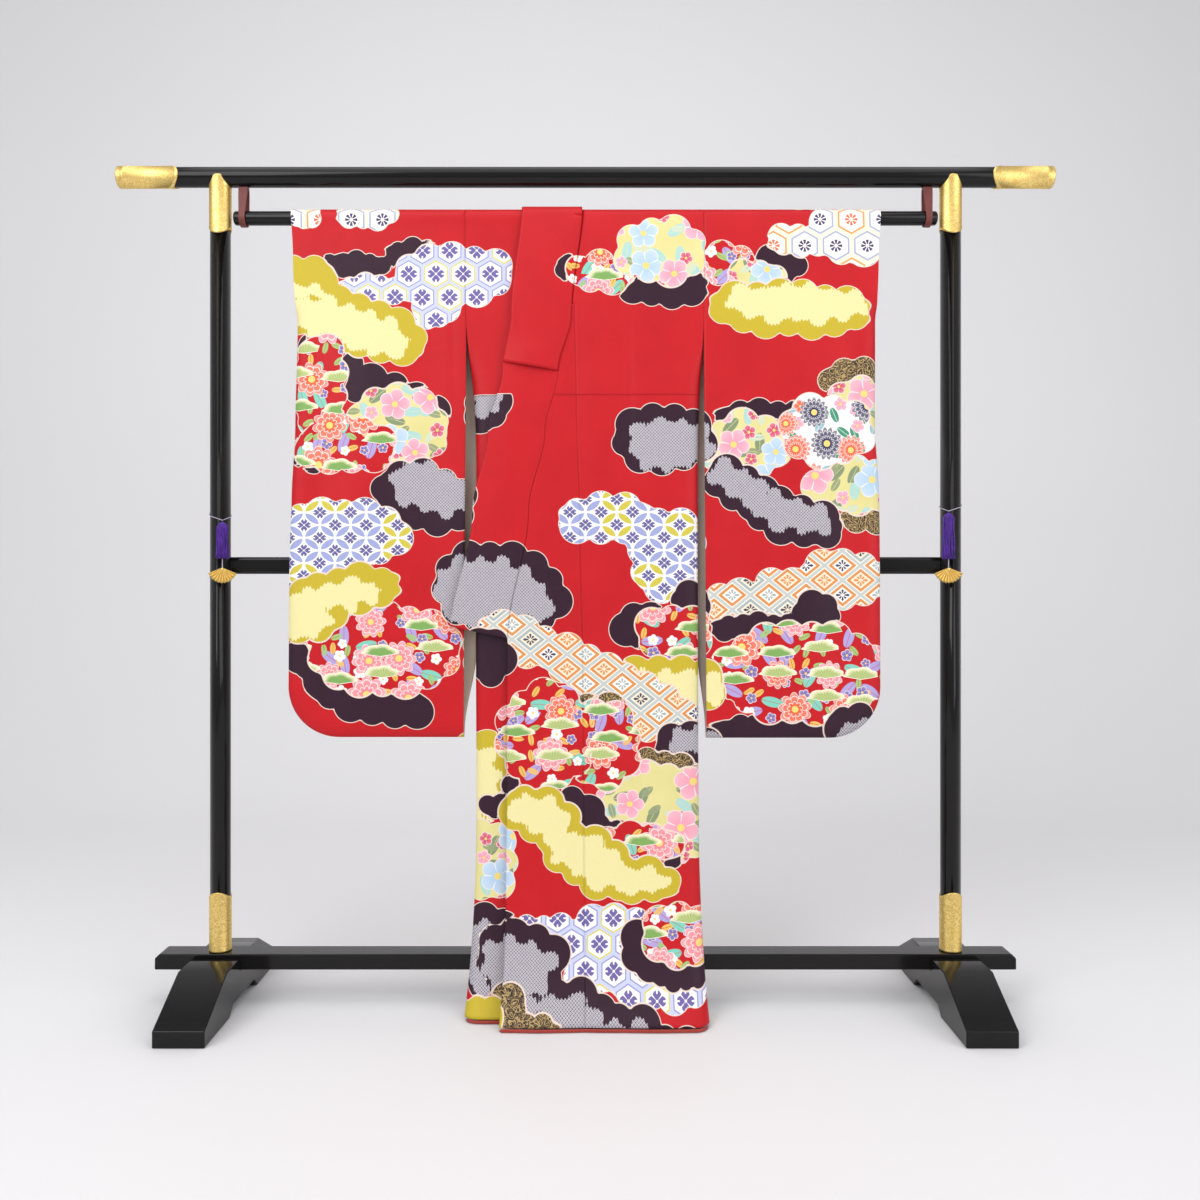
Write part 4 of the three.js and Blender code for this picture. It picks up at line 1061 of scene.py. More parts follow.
    def flowers(self, r: Recipe, u: Signal, v: Signal) -> Signal:
        """Large five-petalled flowers with smaller ones and leaves on cream."""
        cream = r.mix(r.noise(r.vector(u, v), 0.012, 1), CREAM, srgb(214, 204, 128))
        colour = self.leaves(r, cream, u, v, 52, 3.0, 0.5, (srgb(132, 148, 112), srgb(172, 212, 206)))
        tints = srgb(206, 216, 190), srgb(150, 160, 120)
        colour = self.leaves(r, colour, u + 31, v, 37, 9.0, 0.7, tints, bare=0.4)
        colour = self.painted(r, colour, self.blooms(r, u, v, 44, 16, 5, 1.0, 0.45), PINK, ROSE)
        return self.painted(r, colour, self.blooms(r, u, v, 86, 37, 5, 2.0), PINK, srgb(178, 206, 230))

    def garden(self, r: Recipe, u: Signal, v: Signal, ground: Paint) -> Signal:
        """Flowers, leaves and pine boughs on the red ground."""
        colour = self.leaves(r, ground, u, v, 54, 3.0, 0.45, (srgb(128, 206, 186), srgb(176, 162, 214)))
        tints = srgb(160, 196, 118), srgb(236, 190, 96)
        colour = self.leaves(r, colour, u + 23, v, 30, 9.0, 0.7, tints, bare=0.35)
        colour = self.painted(r, colour, self.blooms(r, u, v, 38, 13, 5, 6.0, 0.4), srgb(112, 92, 172), WHITE)
        colour = self.painted(r, colour, self.blooms(r, u, v, 92, 38, 9, 7.0), ORANGE, srgb(238, 132, 142))
        return self.boughs(r, colour, u, v, 86, 8.0)

    def fill(self, r: Recipe, dye: Dye, toothed: Signal, u: Signal, v: Signal, ground: Paint) -> Signal:
        """Returns the colours inside one dye's clouds, by the method that has the dye's name."""
        more = {Dye.YELLOW: (toothed,), Dye.DOTS: (toothed,), Dye.GARDEN: (ground,)}
        return getattr(self, dye.value)(r, u, v, *more.get(dye, ()))

    def material(self) -> bpy.types.Material:
        """Mixes the silk.

        Returns:
            The material.
        """
        r = Recipe(self.name)
        u, v = r.flat("cloth")
        cloth = r.vector(u, v)
        ground = r.mix(r.noise(cloth, 0.011, 3), srgb(184, 5, 18), srgb(204, 12, 26))
        colour: Paint = ground
        toothed = r.attribute("toothed")
        up = v + (v > OVER / 2) * (OVER - v * 2)
        for dye in Dye:
            depth = r.attribute(dye.value)
            inner = self.fill(r, dye, toothed, u, up, ground)
            colour = r.mix((depth - 1.4).edge(0.5), r.mix(depth.edge(0.5), colour, OUTLINE), inner)
        crepe = r.noise(cloth, 0.75, 2, 0.6)
        twill = ((u + v * 0.6) * (2 * math.pi / 0.9)).sine()
        weave = crepe * 0.8 + twill * 0.12 + r.noise(cloth, 0.06, 2) * 1.2
        if self.tuck_groove_and_shade:
            line = (0.9 - abs(v - TUCK)).edge(0.6)
            # painted shade: a thin dark red line along the tuck, standing for the shade under the step of the
            # cloth above it
            colour = r.mix(line * 0.35, colour, srgb(96, 12, 20))
            weave = weave - line * 2.5
        sheen = r.noise(cloth, 0.25, 2) * 0.14 + 0.43
        return r.finish({
            "Base Color": colour,
            "Roughness": sheen,
            "Sheen Weight": 0.04,
            "Sheen Roughness": 0.5,
            "Specular IOR Level": 0.3,
            "Normal": r.bump(weave, 0.35, 0.0004),
        })


@dataclass(frozen=True)
class Lining:
    """Plain lining silk: a warm grey inside, and brick red where it nears the hem."""

    name: str = "lining_silk"
    all_red: bool = False
    shoulder: float = 1590.0
    shaded_cream_reach: float = 1340.0

    def material(self) -> bpy.types.Material:
        """Returns the material, with its change of colour by the distance from the shoulder."""
        r = Recipe(self.name)
        u, v = r.flat("cloth")
        cloth = r.vector(u, v)
        brick = r.mix(r.noise(cloth, 0.02, 2), srgb(146, 36, 24), srgb(170, 52, 36))
        red_share: Value = 1.0 if self.all_red else (abs(v - self.shoulder) - self.shaded_cream_reach).edge(0.6)
        # painted shade: the cream lining darkened to a warm grey, for the shade it lies in inside the sleeves
        # and the slits
        grey = r.mix(r.noise(cloth, 0.02, 2), srgb(176, 158, 142), srgb(196, 180, 164))
        weave = r.noise(cloth, 0.9, 2) + (u * (2 * math.pi / 0.7)).sine() * 0.15
        return r.finish({
            "Base Color": r.mix(red_share, grey, brick),
            "Roughness": r.noise(cloth, 0.3, 2) * 0.1 + 0.48,
            "Sheen Weight": 0.15,
            "Normal": r.bump(weave, 0.3, 0.0003),
        })


@dataclass(frozen=True)
class Lacquer:
    """Black lacquer: deep and glossy, and very slightly uneven in its tone, its polish and its face."""

    def material(self) -> bpy.types.Material:
        """Returns the material."""
        r = Recipe("black_lacquer")
        place = r.place()
        return r.finish({
            "Base Color": r.mix(r.noise(place, 3.0, 3), (0.004, 0.004, 0.0042), (0.0085, 0.007, 0.0065)),
            "Roughness": r.noise(place, 60.0, 4, 0.6) * 0.09 + 0.09,
            "Specular IOR Level": 0.22,
            "Coat Weight": 0.08,
            "Coat Roughness": 0.04,
            "Normal": r.bump(r.noise(place, 14.0, 2), 0.12, 0.0008),
        })


@dataclass(frozen=True)
class Gilt:
    """Chased gilt brass: scrolls in low relief on a stippled ground, darker where the relief is low."""

    name: str = "chased_gilt"
    scroll: float = 95.0

    def material(self) -> bpy.types.Material:
        """Returns the material, its scrolls the level lines of a slow noise."""
        r = Recipe(self.name)
        place = r.place()
        level = abs((r.noise(place, self.scroll, 2, 0.35) * 6).wrapped(1.0))
        scrolls = (0.24 - level).edge(0.07)
        stipple = r.noise(place, 1500.0, 1)
        height = scrolls + stipple * 0.2
        tone = r.mix(scrolls, srgb(226, 192, 112), srgb(246, 220, 142))
        return r.finish({
            "Base Color": r.mix(r.noise(place, 22.0, 3) * 0.35, tone, srgb(232, 196, 110)),
            "Metallic": 1.0,
            "Roughness": 0.5 - scrolls * 0.1,
            "Normal": r.bump(height, 0.12, 0.0004),
        })


@dataclass(frozen=True)
class Leather:
    """Brown-red leather: a pebbled grain, rubbed paler here and there."""

    def material(self) -> bpy.types.Material:
        """Returns the material, its grain from a fine Voronoi net."""
        r = Recipe("strap_leather")
        place = r.place()
        grain = r.out(r.node("TexVoronoi", None, {"Vector": place, "Scale": 900.0}), "Distance")
        return r.finish({
            "Base Color": r.mix(r.noise(place, 90.0, 3), srgb(88, 34, 34), srgb(124, 58, 50)),
            "Roughness": r.noise(place, 160.0, 2) * 0.2 + 0.42,
            "Normal": r.bump(grain, 0.5, 0.0004),
        })


@dataclass(frozen=True)
class Thread:
    """Twisted thread: soft, with a fine slanting twist."""

    name: str = "purple_thread"
    dark: Colour = srgb(22, 2, 66)
    light: Colour = srgb(104, 34, 190)

    def material(self) -> bpy.types.Material:
        """Returns the material."""
        r = Recipe(self.name)
        place = r.place()
        x, y, z = r.parts(place)
        twist = ((x + y + z * 0.7) * (2 * math.pi / 0.0011)).sine() * 0.5 + 0.5
        strands = r.noise(r.vector(x, y, z * 0.05), 800.0, 1)
        return r.finish({
            "Base Color": r.mix(r.clamp(strands * 2.2 - 0.75 + twist * 0.3), self.dark, self.light),
            "Roughness": r.noise(place, 300.0, 1) * 0.15 + 0.42,
            "Sheen Weight": 0.1,
            "Normal": r.bump(twist, 0.4, 0.0003),
        })


# ---------------------------------------------------------------- the garment
def crowded(width: float, step: float) -> Array:
    """Returns shares across a panel, about a step apart, that crowd towards a sewn edge at share 1."""
    rim = 1 - RIM * np.array([0.84, 0.68, 0.52, 0.38, 0.26, 0.16, 0.08, 0.03, 0]) / width
    return np.concatenate([np.linspace(0, 1 - RIM / width, max(3, round((width - RIM) / step))), rim])


def rising(bottom: float, top: float, step: float, *extra: float) -> Array:
    """Returns heights from bottom to top, about a step apart, with a few exact ones among them."""
    plain = np.linspace(bottom, top, round((top - bottom) / step) + 1)
    plain = plain[[min((abs(h - e) for e in extra), default=9) > 0.9 for h in plain]]
    return np.unique(np.concatenate([plain, [bottom, top], [e for e in extra if bottom < e < top]]))


def tuck_step(height: Array) -> Array:
    """Returns the tuck's little step at the waist: the cloth above it stands out over the cloth below."""
    return -1.1 * ramp(height, *TUCK_EDGES) * (1 - ramp(height, TUCK + 10, TUCK + 70))


@dataclass
class Kimono:
    """The garment: body, overlaps, collars, sleeves and the lining's roll at the hem."""

    row: float = 6.0
    column: float = 5.0

    def __post_init__(self) -> None:
        """Mixes the cloths' finishes."""
        self.silk = Silk("dyed_silk").material()
        self.body_silk = Silk("dyed_silk_body", tuck_groove_and_shade=True).material()
        self.lining = Lining().material()
        self.hem = Lining("hem_lining", all_red=True).material()

    def build(self) -> None:
        """Builds every piece of the garment and says what cloth each was cut from."""
        body = (self.body_silk, self.lining, self.body_silk)
        plain = (self.silk, self.lining, self.silk)
        right = self.body("right", "inner", "back", inner_front_edge, PLEAT_EDGE).piece(*body)
        left = self.body("left", "outer", "back_left", outer_front_edge, PLEAT_INSIDE).piece(*body)
        rolls = self.hem_rolls()
        layers = {"left": ("outer", "back_left"), "right": ("inner", "back")}
        for side, carrier in (("left", left), ("right", right)):
            piece = self.overlap(f"overlap_{side}", *layers[side], side).piece(*body)
        proud = (COLLAR_CLOTH + CLOTH) / 2 + SEAM
        collar = self.collar_band("collar_left", COLLAR_CLOTH, (TIP_OUTER, TIP_SEAM), COLLAR_BACK_END, 0, 0)
        collar.piece(*plain)
        ends, back_end = (OVER_OUTER, OVER_SEAM), COLLAR_BACK_END + 14
        over = self.collar_band("over_collar", CLOTH, ends, back_end, proud, OVER_LIFT)
        over.piece(*plain)
        folded = self.inner_collar().piece(*plain)
        for side in ("right", "left"):
            sleeve = self.sleeve(side, *layers[side]).piece(*plain)

    def body(self, side: str, layer: str, partner: str, edge: Callable, pleat_x: float) -> Cloth:
        """Makes one half of the body: front, shoulder and back, with its part of the pleat behind.

        Each point lies at a share of the way from the middle edge to the side, at the layer's depth for its
        height. The pleat's return runs round a half turn and back inside. The other half ends in a quarter
        turn.

        Args:
            side: right or left.
            layer: the front's layer.
            partner: the back's layer.
            edge: X of the front's middle edge by height.
            pleat_x: X of the back's middle edge below the neck.

        Returns:
            The cloth.
        """
        start = edge(np.array(ROD_HEIGHT))
        shares = crowded(236, self.column)
        marks = (OVERLAP_TOP, OVERLAP_TOP + 0.6, NECK_LOW, NECK_TOP, *TUCK_EDGES, TUCK, SIDE_SEAM_TOP, 20, 40)
        up = rising(HEM, ROD_HEIGHT, self.row, *marks)

        def across(middle: Callable) -> Callable:
            """Returns what gives X between a middle edge and the side."""
            return lambda share, h: between(middle(h), along(BODY_SIDES, side, h), share)

        def front_depth(x: Array, h: Array) -> Array:
            """Returns the front's depth, with the tuck's step fading into the side seam."""
            step = tuck_step(h) * pinch(abs(along(BODY_SIDES, side, h) - x))
            return body_depth(layer, partner, side, x, h) + step

        def neck(height: Array) -> Array:
            """Returns X of the back's middle edge, which runs out to the neck's above."""
            return between(start, pleat_x, 1 - ramp(height, NECK_LOW, NECK_TOP))

        front = Grid.of(up, shares, across(edge), front_depth, lies_in_front)
        back = Grid.of(
            up[::-1], shares, across(neck), lambda x, h: body_depth(partner, layer, side, x, h), lies_behind
        )
        shoulder = over_rod(front.points[-1, :, 0], SHOULDER_RADIUS)
        fold = back.points[up[::-1] <= NECK_LOW][:, 0]
        half = PLEAT_LAYER / 2
        quarter = np.radians([28, 54, 73])
        if side == "right":
            turn = np.radians(np.arange(20, 181, 20))
            inward = np.linspace(-8, PLEAT_INSIDE, 16)
            dx = np.concatenate([half * np.sin(turn), inward, PLEAT_INSIDE - half * np.sin(quarter)])
            dy = np.concatenate([
                -half * (1 - np.cos(turn)),
                np.full(len(inward), -PLEAT_LAYER),
                -PLEAT_LAYER - half * (1 - np.cos(quarter)),
            ])
        else:
            dx, dy = -half * np.sin(quarter), half * (1 - np.cos(quarter))
        moves = np.stack([dx, dy, np.zeros_like(dx)], -1)[::-1]
        folded = fold[:, None] + np.concatenate([moves, np.zeros((1, 3))])[None]
        pleat = Grid.laid(folded, lies_behind)
        return Cloth(f"body_{side}", [front, shoulder, back, pleat], CLOTH, turned=side == "right")

    def overlap(self, node: str, layer: str, partner: str, side: str) -> Cloth:
        """Makes an overlap panel: from a front's seam to the collar's seam, and below it to the free edge."""
        place = mirrored if side == "right" else (lambda x: x)
        heights = rising(HEM, OVERLAP_TOP, self.row, TIP_SEAM, *TUCK_EDGES, TUCK, 20, 40)[::-1]

        def across(share: Array, height: Array) -> Array:
            """Returns X between the front's seam and the free edge."""
            free = np.where(height > TIP_SEAM, collar_seam(height) + 0.05, along(OVERLAP_EDGE, "x", height))
            return place(between(okumi_seam(height) - 0.02, free, share))

        def depth(x: Array, height: Array) -> Array:
            """Returns the front's depth with the tuck's step."""
            return body_depth(layer, partner, side, x, height) + tuck_step(height)

        grid = Grid.of(heights, np.linspace(0, 1, 33), across, depth, lies_in_front)
        return Cloth(node, [grid], CLOTH, turned=side == "right")

    def collar_band(
        self,
        node: str,
        thickness: float,
        ends: tuple[float, float],
        back_end: float,
        proud: float,
        lift: float,
    ) -> Cloth:
        """Makes a collar band, from its slanted lower end up the front, over the rod and down behind.

        Args:
            node: the solid that it stands for.
            thickness: its wall.
            ends: the heights of its lower end, at the free edge and at the seam.
            back_end: the height of its end behind the neck.
            proud: how far it stands out from the collar's layer.
            lift: how far its lower edge curls forward.

        Returns:
            The cloth.
        """
        steps = round((ROD_HEIGHT - ends[1]) / self.row)
        share, down = np.meshgrid(np.linspace(0, 1, 27), np.linspace(1, 0, steps + 1))
        end = between(ends[1], ends[0], share)
        height = between(ROD_HEIGHT, end, down)
        x = between(collar_seam(height) - 0.02, along(COLLAR_LINES, "free", height), share)
        curl = lift * np.sin(np.pi * share) * (1 - ramp(height, end, end + OVER_LIFT_LENGTH))
        seam_dip = 0.9 * np.exp(-((share / 0.06) ** 2))
        crown = 0.7 * np.sin(np.pi * share) * (1 - ramp(height, 1500, ROD_HEIGHT)) - seam_dip
        folds = fold_depth(FRONT_FOLDS + FRONT_CREASES, x, height)
        y = along(LAYERS, "collar", height) + folds - proud - curl - crown
        front = Grid.laid(np.stack([x, y, height], -1), lies_in_front)
        radius = -LAYERS[0]["collar"] + proud
        shoulder = over_rod(x[-1], radius)
        low = rising(back_end, ROD_HEIGHT, self.row)[::-1]
        behind_x, behind_z = np.meshgrid(x[-1], low)
        behind_y = along(LAYERS, "back", behind_z) + radius - SHOULDER_RADIUS
        behind = Grid.laid(np.stack([behind_x, behind_y, behind_z], -1), lies_behind)
        return Cloth(node, [front, shoulder, behind], thickness, turned=True)

    def inner_collar(self) -> Cloth:
        """Makes the inner front's collar, folded in half along its length, under the outer front."""
        heights = rising(TIP_OUTER, INNER_COLLAR_TOP, self.row)[::-1]

        def across(share: Array, height: Array) -> Array:
            """Returns X, from beside the inner front's edge on."""
            edge = np.maximum(inner_front_edge(height), mirrored(collar_seam(height)))
            return edge + SEAM + share * INNER_COLLAR_WIDTH

        def depth(x: Array, height: Array) -> Array:
            """Returns the inner layer's depth."""
            return along(LAYERS, "inner", height) + fold_depth(FRONT_FOLDS, x, height)

        grid = Grid.of(heights, np.linspace(0, 1, 13), across, depth, lies_in_front)
        return Cloth("collar_right", [grid], FOLDED_COLLAR, turned=True)

    def sleeve(self, side: str, front: str, back: str) -> Cloth:
        """Makes a sleeve: a bag over the rod, sewn along its bottom, its round corner and its outer edge.

        The two layers lie apart by their depths, times a quarter ellipse of the distance in from the sewn
        outline. The back layer reaches in behind the slit beside the body, so its lining shows there.

        Args:
            side: right or left.
            front: the front's layer.
            back: the back's layer.

        Returns:
            The cloth.
        """
        towards = -1 if side == "right" else 1
        width, round_top, cuff_top = 343.0, 690, CUFF_BOTTOM + 45
        corner = 1 - SLEEVE_CORNER * (1 - np.sin(np.radians(np.arange(0, 91, 5)))) / width
        shares = np.concatenate([np.linspace(0, corner[0], 49)[:-1], corner])
        upper = rising(round_top, ROD_HEIGHT, self.row, CUFF_BOTTOM, cuff_top)
        fall = 1 - (1 - np.linspace(0, 1, 36)) ** 1.7
        past = np.clip(SLEEVE_CORNER - (1 - shares) * width, 0, None)
        bottom = SLEEVE_BOTTOM + SLEEVE_CORNER - np.sqrt(np.maximum(SLEEVE_CORNER**2 - past**2, 0))
        lower = between(round_top, bottom[None], fall[1:, None])[::-1]
        height = np.concatenate([lower, np.broadcast_to(upper[:, None], (len(upper), len(shares)))])
        inner = np.maximum(along(SLEEVE_INNER, side, height), abs(along(BODY_SIDES, side, height)) + SEAM)
        outer = along(SLEEVE_OUTER, side, height)
        x = between(inner, outer, shares[None])
        from_outer, from_bottom = outer - x, height - SLEEVE_BOTTOM
        rounded = SLEEVE_CORNER - np.hypot(SLEEVE_CORNER - from_outer, SLEEVE_CORNER - from_bottom)
        past_corner = (from_outer > SLEEVE_CORNER) | (from_bottom > SLEEVE_CORNER)
        inset = np.where(past_corner, np.minimum(from_outer, from_bottom), rounded)
        inset[0] = 0
        open_cuff = ramp(height, CUFF_BOTTOM, cuff_top)
        apart = between(pinch(inset), pinch(from_bottom), open_cuff)
        apart[: len(lower), -1] = 0
        fade = ramp(1500 - height, 0, 150)

        def wall(own: str, other: str, sign: float) -> Array:
            """Returns one layer's depth, with its folds and creases, pinched to the other's at the seams."""
            plain = along(LAYERS, own, height)
            middle = (plain + along(LAYERS, other, height)) / 2
            soft = fold_depth(SLEEVE_FOLDS, x, height)
            soft = soft + sign * fold_depth(SLEEVE_CREASES, x + 9 * sign, height)
            return between(middle, plain + soft * fade, apart)

        across = towards * x
        before = Grid.laid(np.stack([across, wall(front, back, 1), height], -1), lies_in_front)
        slit = inner - abs(along(BODY_SIDES, side, height)) - 1.2
        under = slit * ramp(height, 545, 700) * (1 - ramp(height, 1290, SEAM_BOTTOM)) * (1 - shares[None])
        behind = np.stack([across - towards * under, wall(back, front, -1), height], -1)[::-1]
        after = Grid.laid(behind, lies_behind)
        shoulder = over_rod(across[-1], SHOULDER_RADIUS)
        return Cloth(f"sleeve_{side}", [before, shoulder, after], CLOTH, turned=side == "right")

    def hem_rolls(self) -> list[bpy.types.Object]:
        """Makes the lining's roll below each hem: an oval carried along the hem's line, closed at its ends.

        Returns:
            The rolls of the outer and inner front and of the right and left back.
        """
        floor = np.array(0.0)
        free = float(along(OVERLAP_EDGE, "x", floor))
        left = float(along(BODY_SIDES, "left", floor)) - 2
        right = float(along(BODY_SIDES, "right", floor)) + 2
        along_hem, turn = np.linspace(0, 1, 90), np.linspace(0, 2 * np.pi, 15)[:-1]
        from_end = np.minimum(along_hem, 1 - along_hem)
        rounded = np.minimum(1, np.sqrt(np.maximum(0, 1 - (1 - from_end * 60).clip(0) ** 2)))[:, None]
        runs = (
            ("outer", "outer", "back_left", "left", ROLL_TOP, free, left),
            ("inner", "inner", "back", "right", ROLL_TOP, mirrored(free), right),
            ("back_right", "back", "inner", "right", BACK_ROLL_TOP, PLEAT_EDGE - 2, right),
            ("back_left", "back_left", "outer", "left", BACK_ROLL_TOP, PLEAT_EDGE + 6, left),
        )
        made = []
        for name, layer, partner, side, top, start, stop in runs:
            x = between(start, stop, along_hem)
            middle = (top + ROLL_LOWEST) / 2
            y = body_depth(layer, partner, side, x, np.full_like(x, middle))
            oval_y = y[:, None] + 1.9 * np.cos(turn) * rounded
            oval_z = middle + (top - ROLL_LOWEST + 1.4) / 2 * np.sin(turn) * rounded
            points = np.stack([np.broadcast_to(x[:, None], oval_y.shape), oval_y, oval_z], -1)
            faces = ring_faces(*points.shape[:2])
            if stop < start:
                faces = faces[:, ::-1]
            node = f"hem_roll_{name}"
            mesh = mesh_of(f"{node}_lining", points.reshape(-1, 3), faces)
            flat_map(mesh, points.reshape(-1, 3)[faces.ravel()][:, [0, 2]])
            mesh.materials.append(self.hem)
            made.append(link_piece(f"{node}_lining", mesh, "lining", node))
        return made


# ---------------------------------------------------------------- solids of the rack
def ring_faces(rows_count: int, columns: int, closed_rows: bool = False) -> Array:
    """Returns the quads of a grid whose columns close into a ring, and whose rows may too."""
    k = np.arange(rows_count * columns).reshape(rows_count, columns)
    if closed_rows:
        k = np.concatenate([k, k[:1]])
    n = np.roll(k, -1, axis=1)
    return np.stack([k[:-1], n[:-1], n[1:], k[1:]], -1).reshape(-1, 4)


def outward(mesh: bpy.types.Mesh) -> bpy.types.Mesh:
    """Merges a mesh's doubled points, drops its empty faces and turns its faces outwards."""
    work = bmesh.new()
    work.from_mesh(mesh)
    bmesh.ops.remove_doubles(work, verts=work.verts, dist=1e-6)
    bmesh.ops.dissolve_degenerate(work, edges=work.edges, dist=1e-7)
    bmesh.ops.recalc_face_normals(work, faces=work.faces)
    work.to_mesh(mesh)
    work.free()
    return mesh


def solid(
    name: str,
    points: Array,
    faces: Sequence[Face] | Array | None,
    slot: str,
    finish: bpy.types.Material,
    *nodes: str,
) -> bpy.types.Object:
    """Makes a closed rigid piece.

    Args:
        name: its name.
        points: its vertices, in rows where there are no faces.
        faces: its faces, or None where each row of points is a closed ring.
        slot: the record's material slot.
        finish: its finish.
        nodes: the solids that it stands for.

    Returns:
        The piece's object.
    """
    if faces is None:
        faces = ring_faces(*points.shape[:2])
    mesh = outward(mesh_of(name, points.reshape(-1, 3), faces))
    mesh.materials.append(finish)
    return link_piece(name, mesh, slot, *nodes)


def ease(piece: bpy.types.Object, width: float, segments: int = 3) -> None:
    """Rounds a piece's sharp edges by a width in millimetres."""
    bevel = piece.modifiers.new("eased_edges", "BEVEL")
    bevel.width, bevel.segments, bevel.limit_method = width * MM, segments, "ANGLE"
    bevel.angle_limit = math.radians(32)
    bevel.harden_normals = True


def turned(profile: Sequence[tuple[float, float]], sides: int = 72) -> Array:
    """Returns a turned form about X: each (radius, x) of the profile carried round a full turn."""
    r, x = np.array(profile, float).T
    a = np.linspace(0, 2 * np.pi, sides, endpoint=False)
    shape = (len(r), sides)
    return np.stack([np.broadcast_to(x[:, None], shape), r[:, None] * np.cos(a), r[:, None] * np.sin(a)], -1)


def tube(path: Array, radius: Array | float, sides: int = 8) -> tuple[Array, Array]:
    """Carries a circle along a path of points, square to the path, and closes it to a point at both ends.

    Args:
        path: the points of the middle line.
        radius: the radius at each point.
        sides: how many sides the circle has.

    Returns:
        The points and faces.
    """
    run = np.gradient(path, axis=0)
    run /= np.linalg.norm(run, axis=1, keepdims=True)
    aside = np.cross(run, np.where(abs(run[:, [1]]) > 0.9, [[1.0, 0, 0]], [[0, 1.0, 0]]))
    aside /= np.linalg.norm(aside, axis=1, keepdims=True)
    other = np.cross(run, aside)
    size = np.broadcast_to(radius, len(path)).astype(float)[:, None, None]
    a = np.linspace(0, 2 * np.pi, sides, endpoint=False)[None, :, None]
    ring = path[:, None] + size * (aside[:, None] * np.cos(a) + other[:, None] * np.sin(a))
    ends = [np.broadcast_to(path[k], (1, sides, 3)) for k in (0, -1)]
    points = np.concatenate([ends[0], ring, ends[1]])
    return points.reshape(-1, 3), ring_faces(len(path) + 2, sides)


def joined(parts: Sequence[tuple[Array, Array]]) -> tuple[Array, Array]:
    """Joins several sets of points and quads into one."""
    starts = np.cumsum([0] + [len(p) for p, _ in parts[:-1]])
    return np.concatenate([p for p, _ in parts]), np.concatenate([f + s for (_, f), s in zip(parts, starts)])


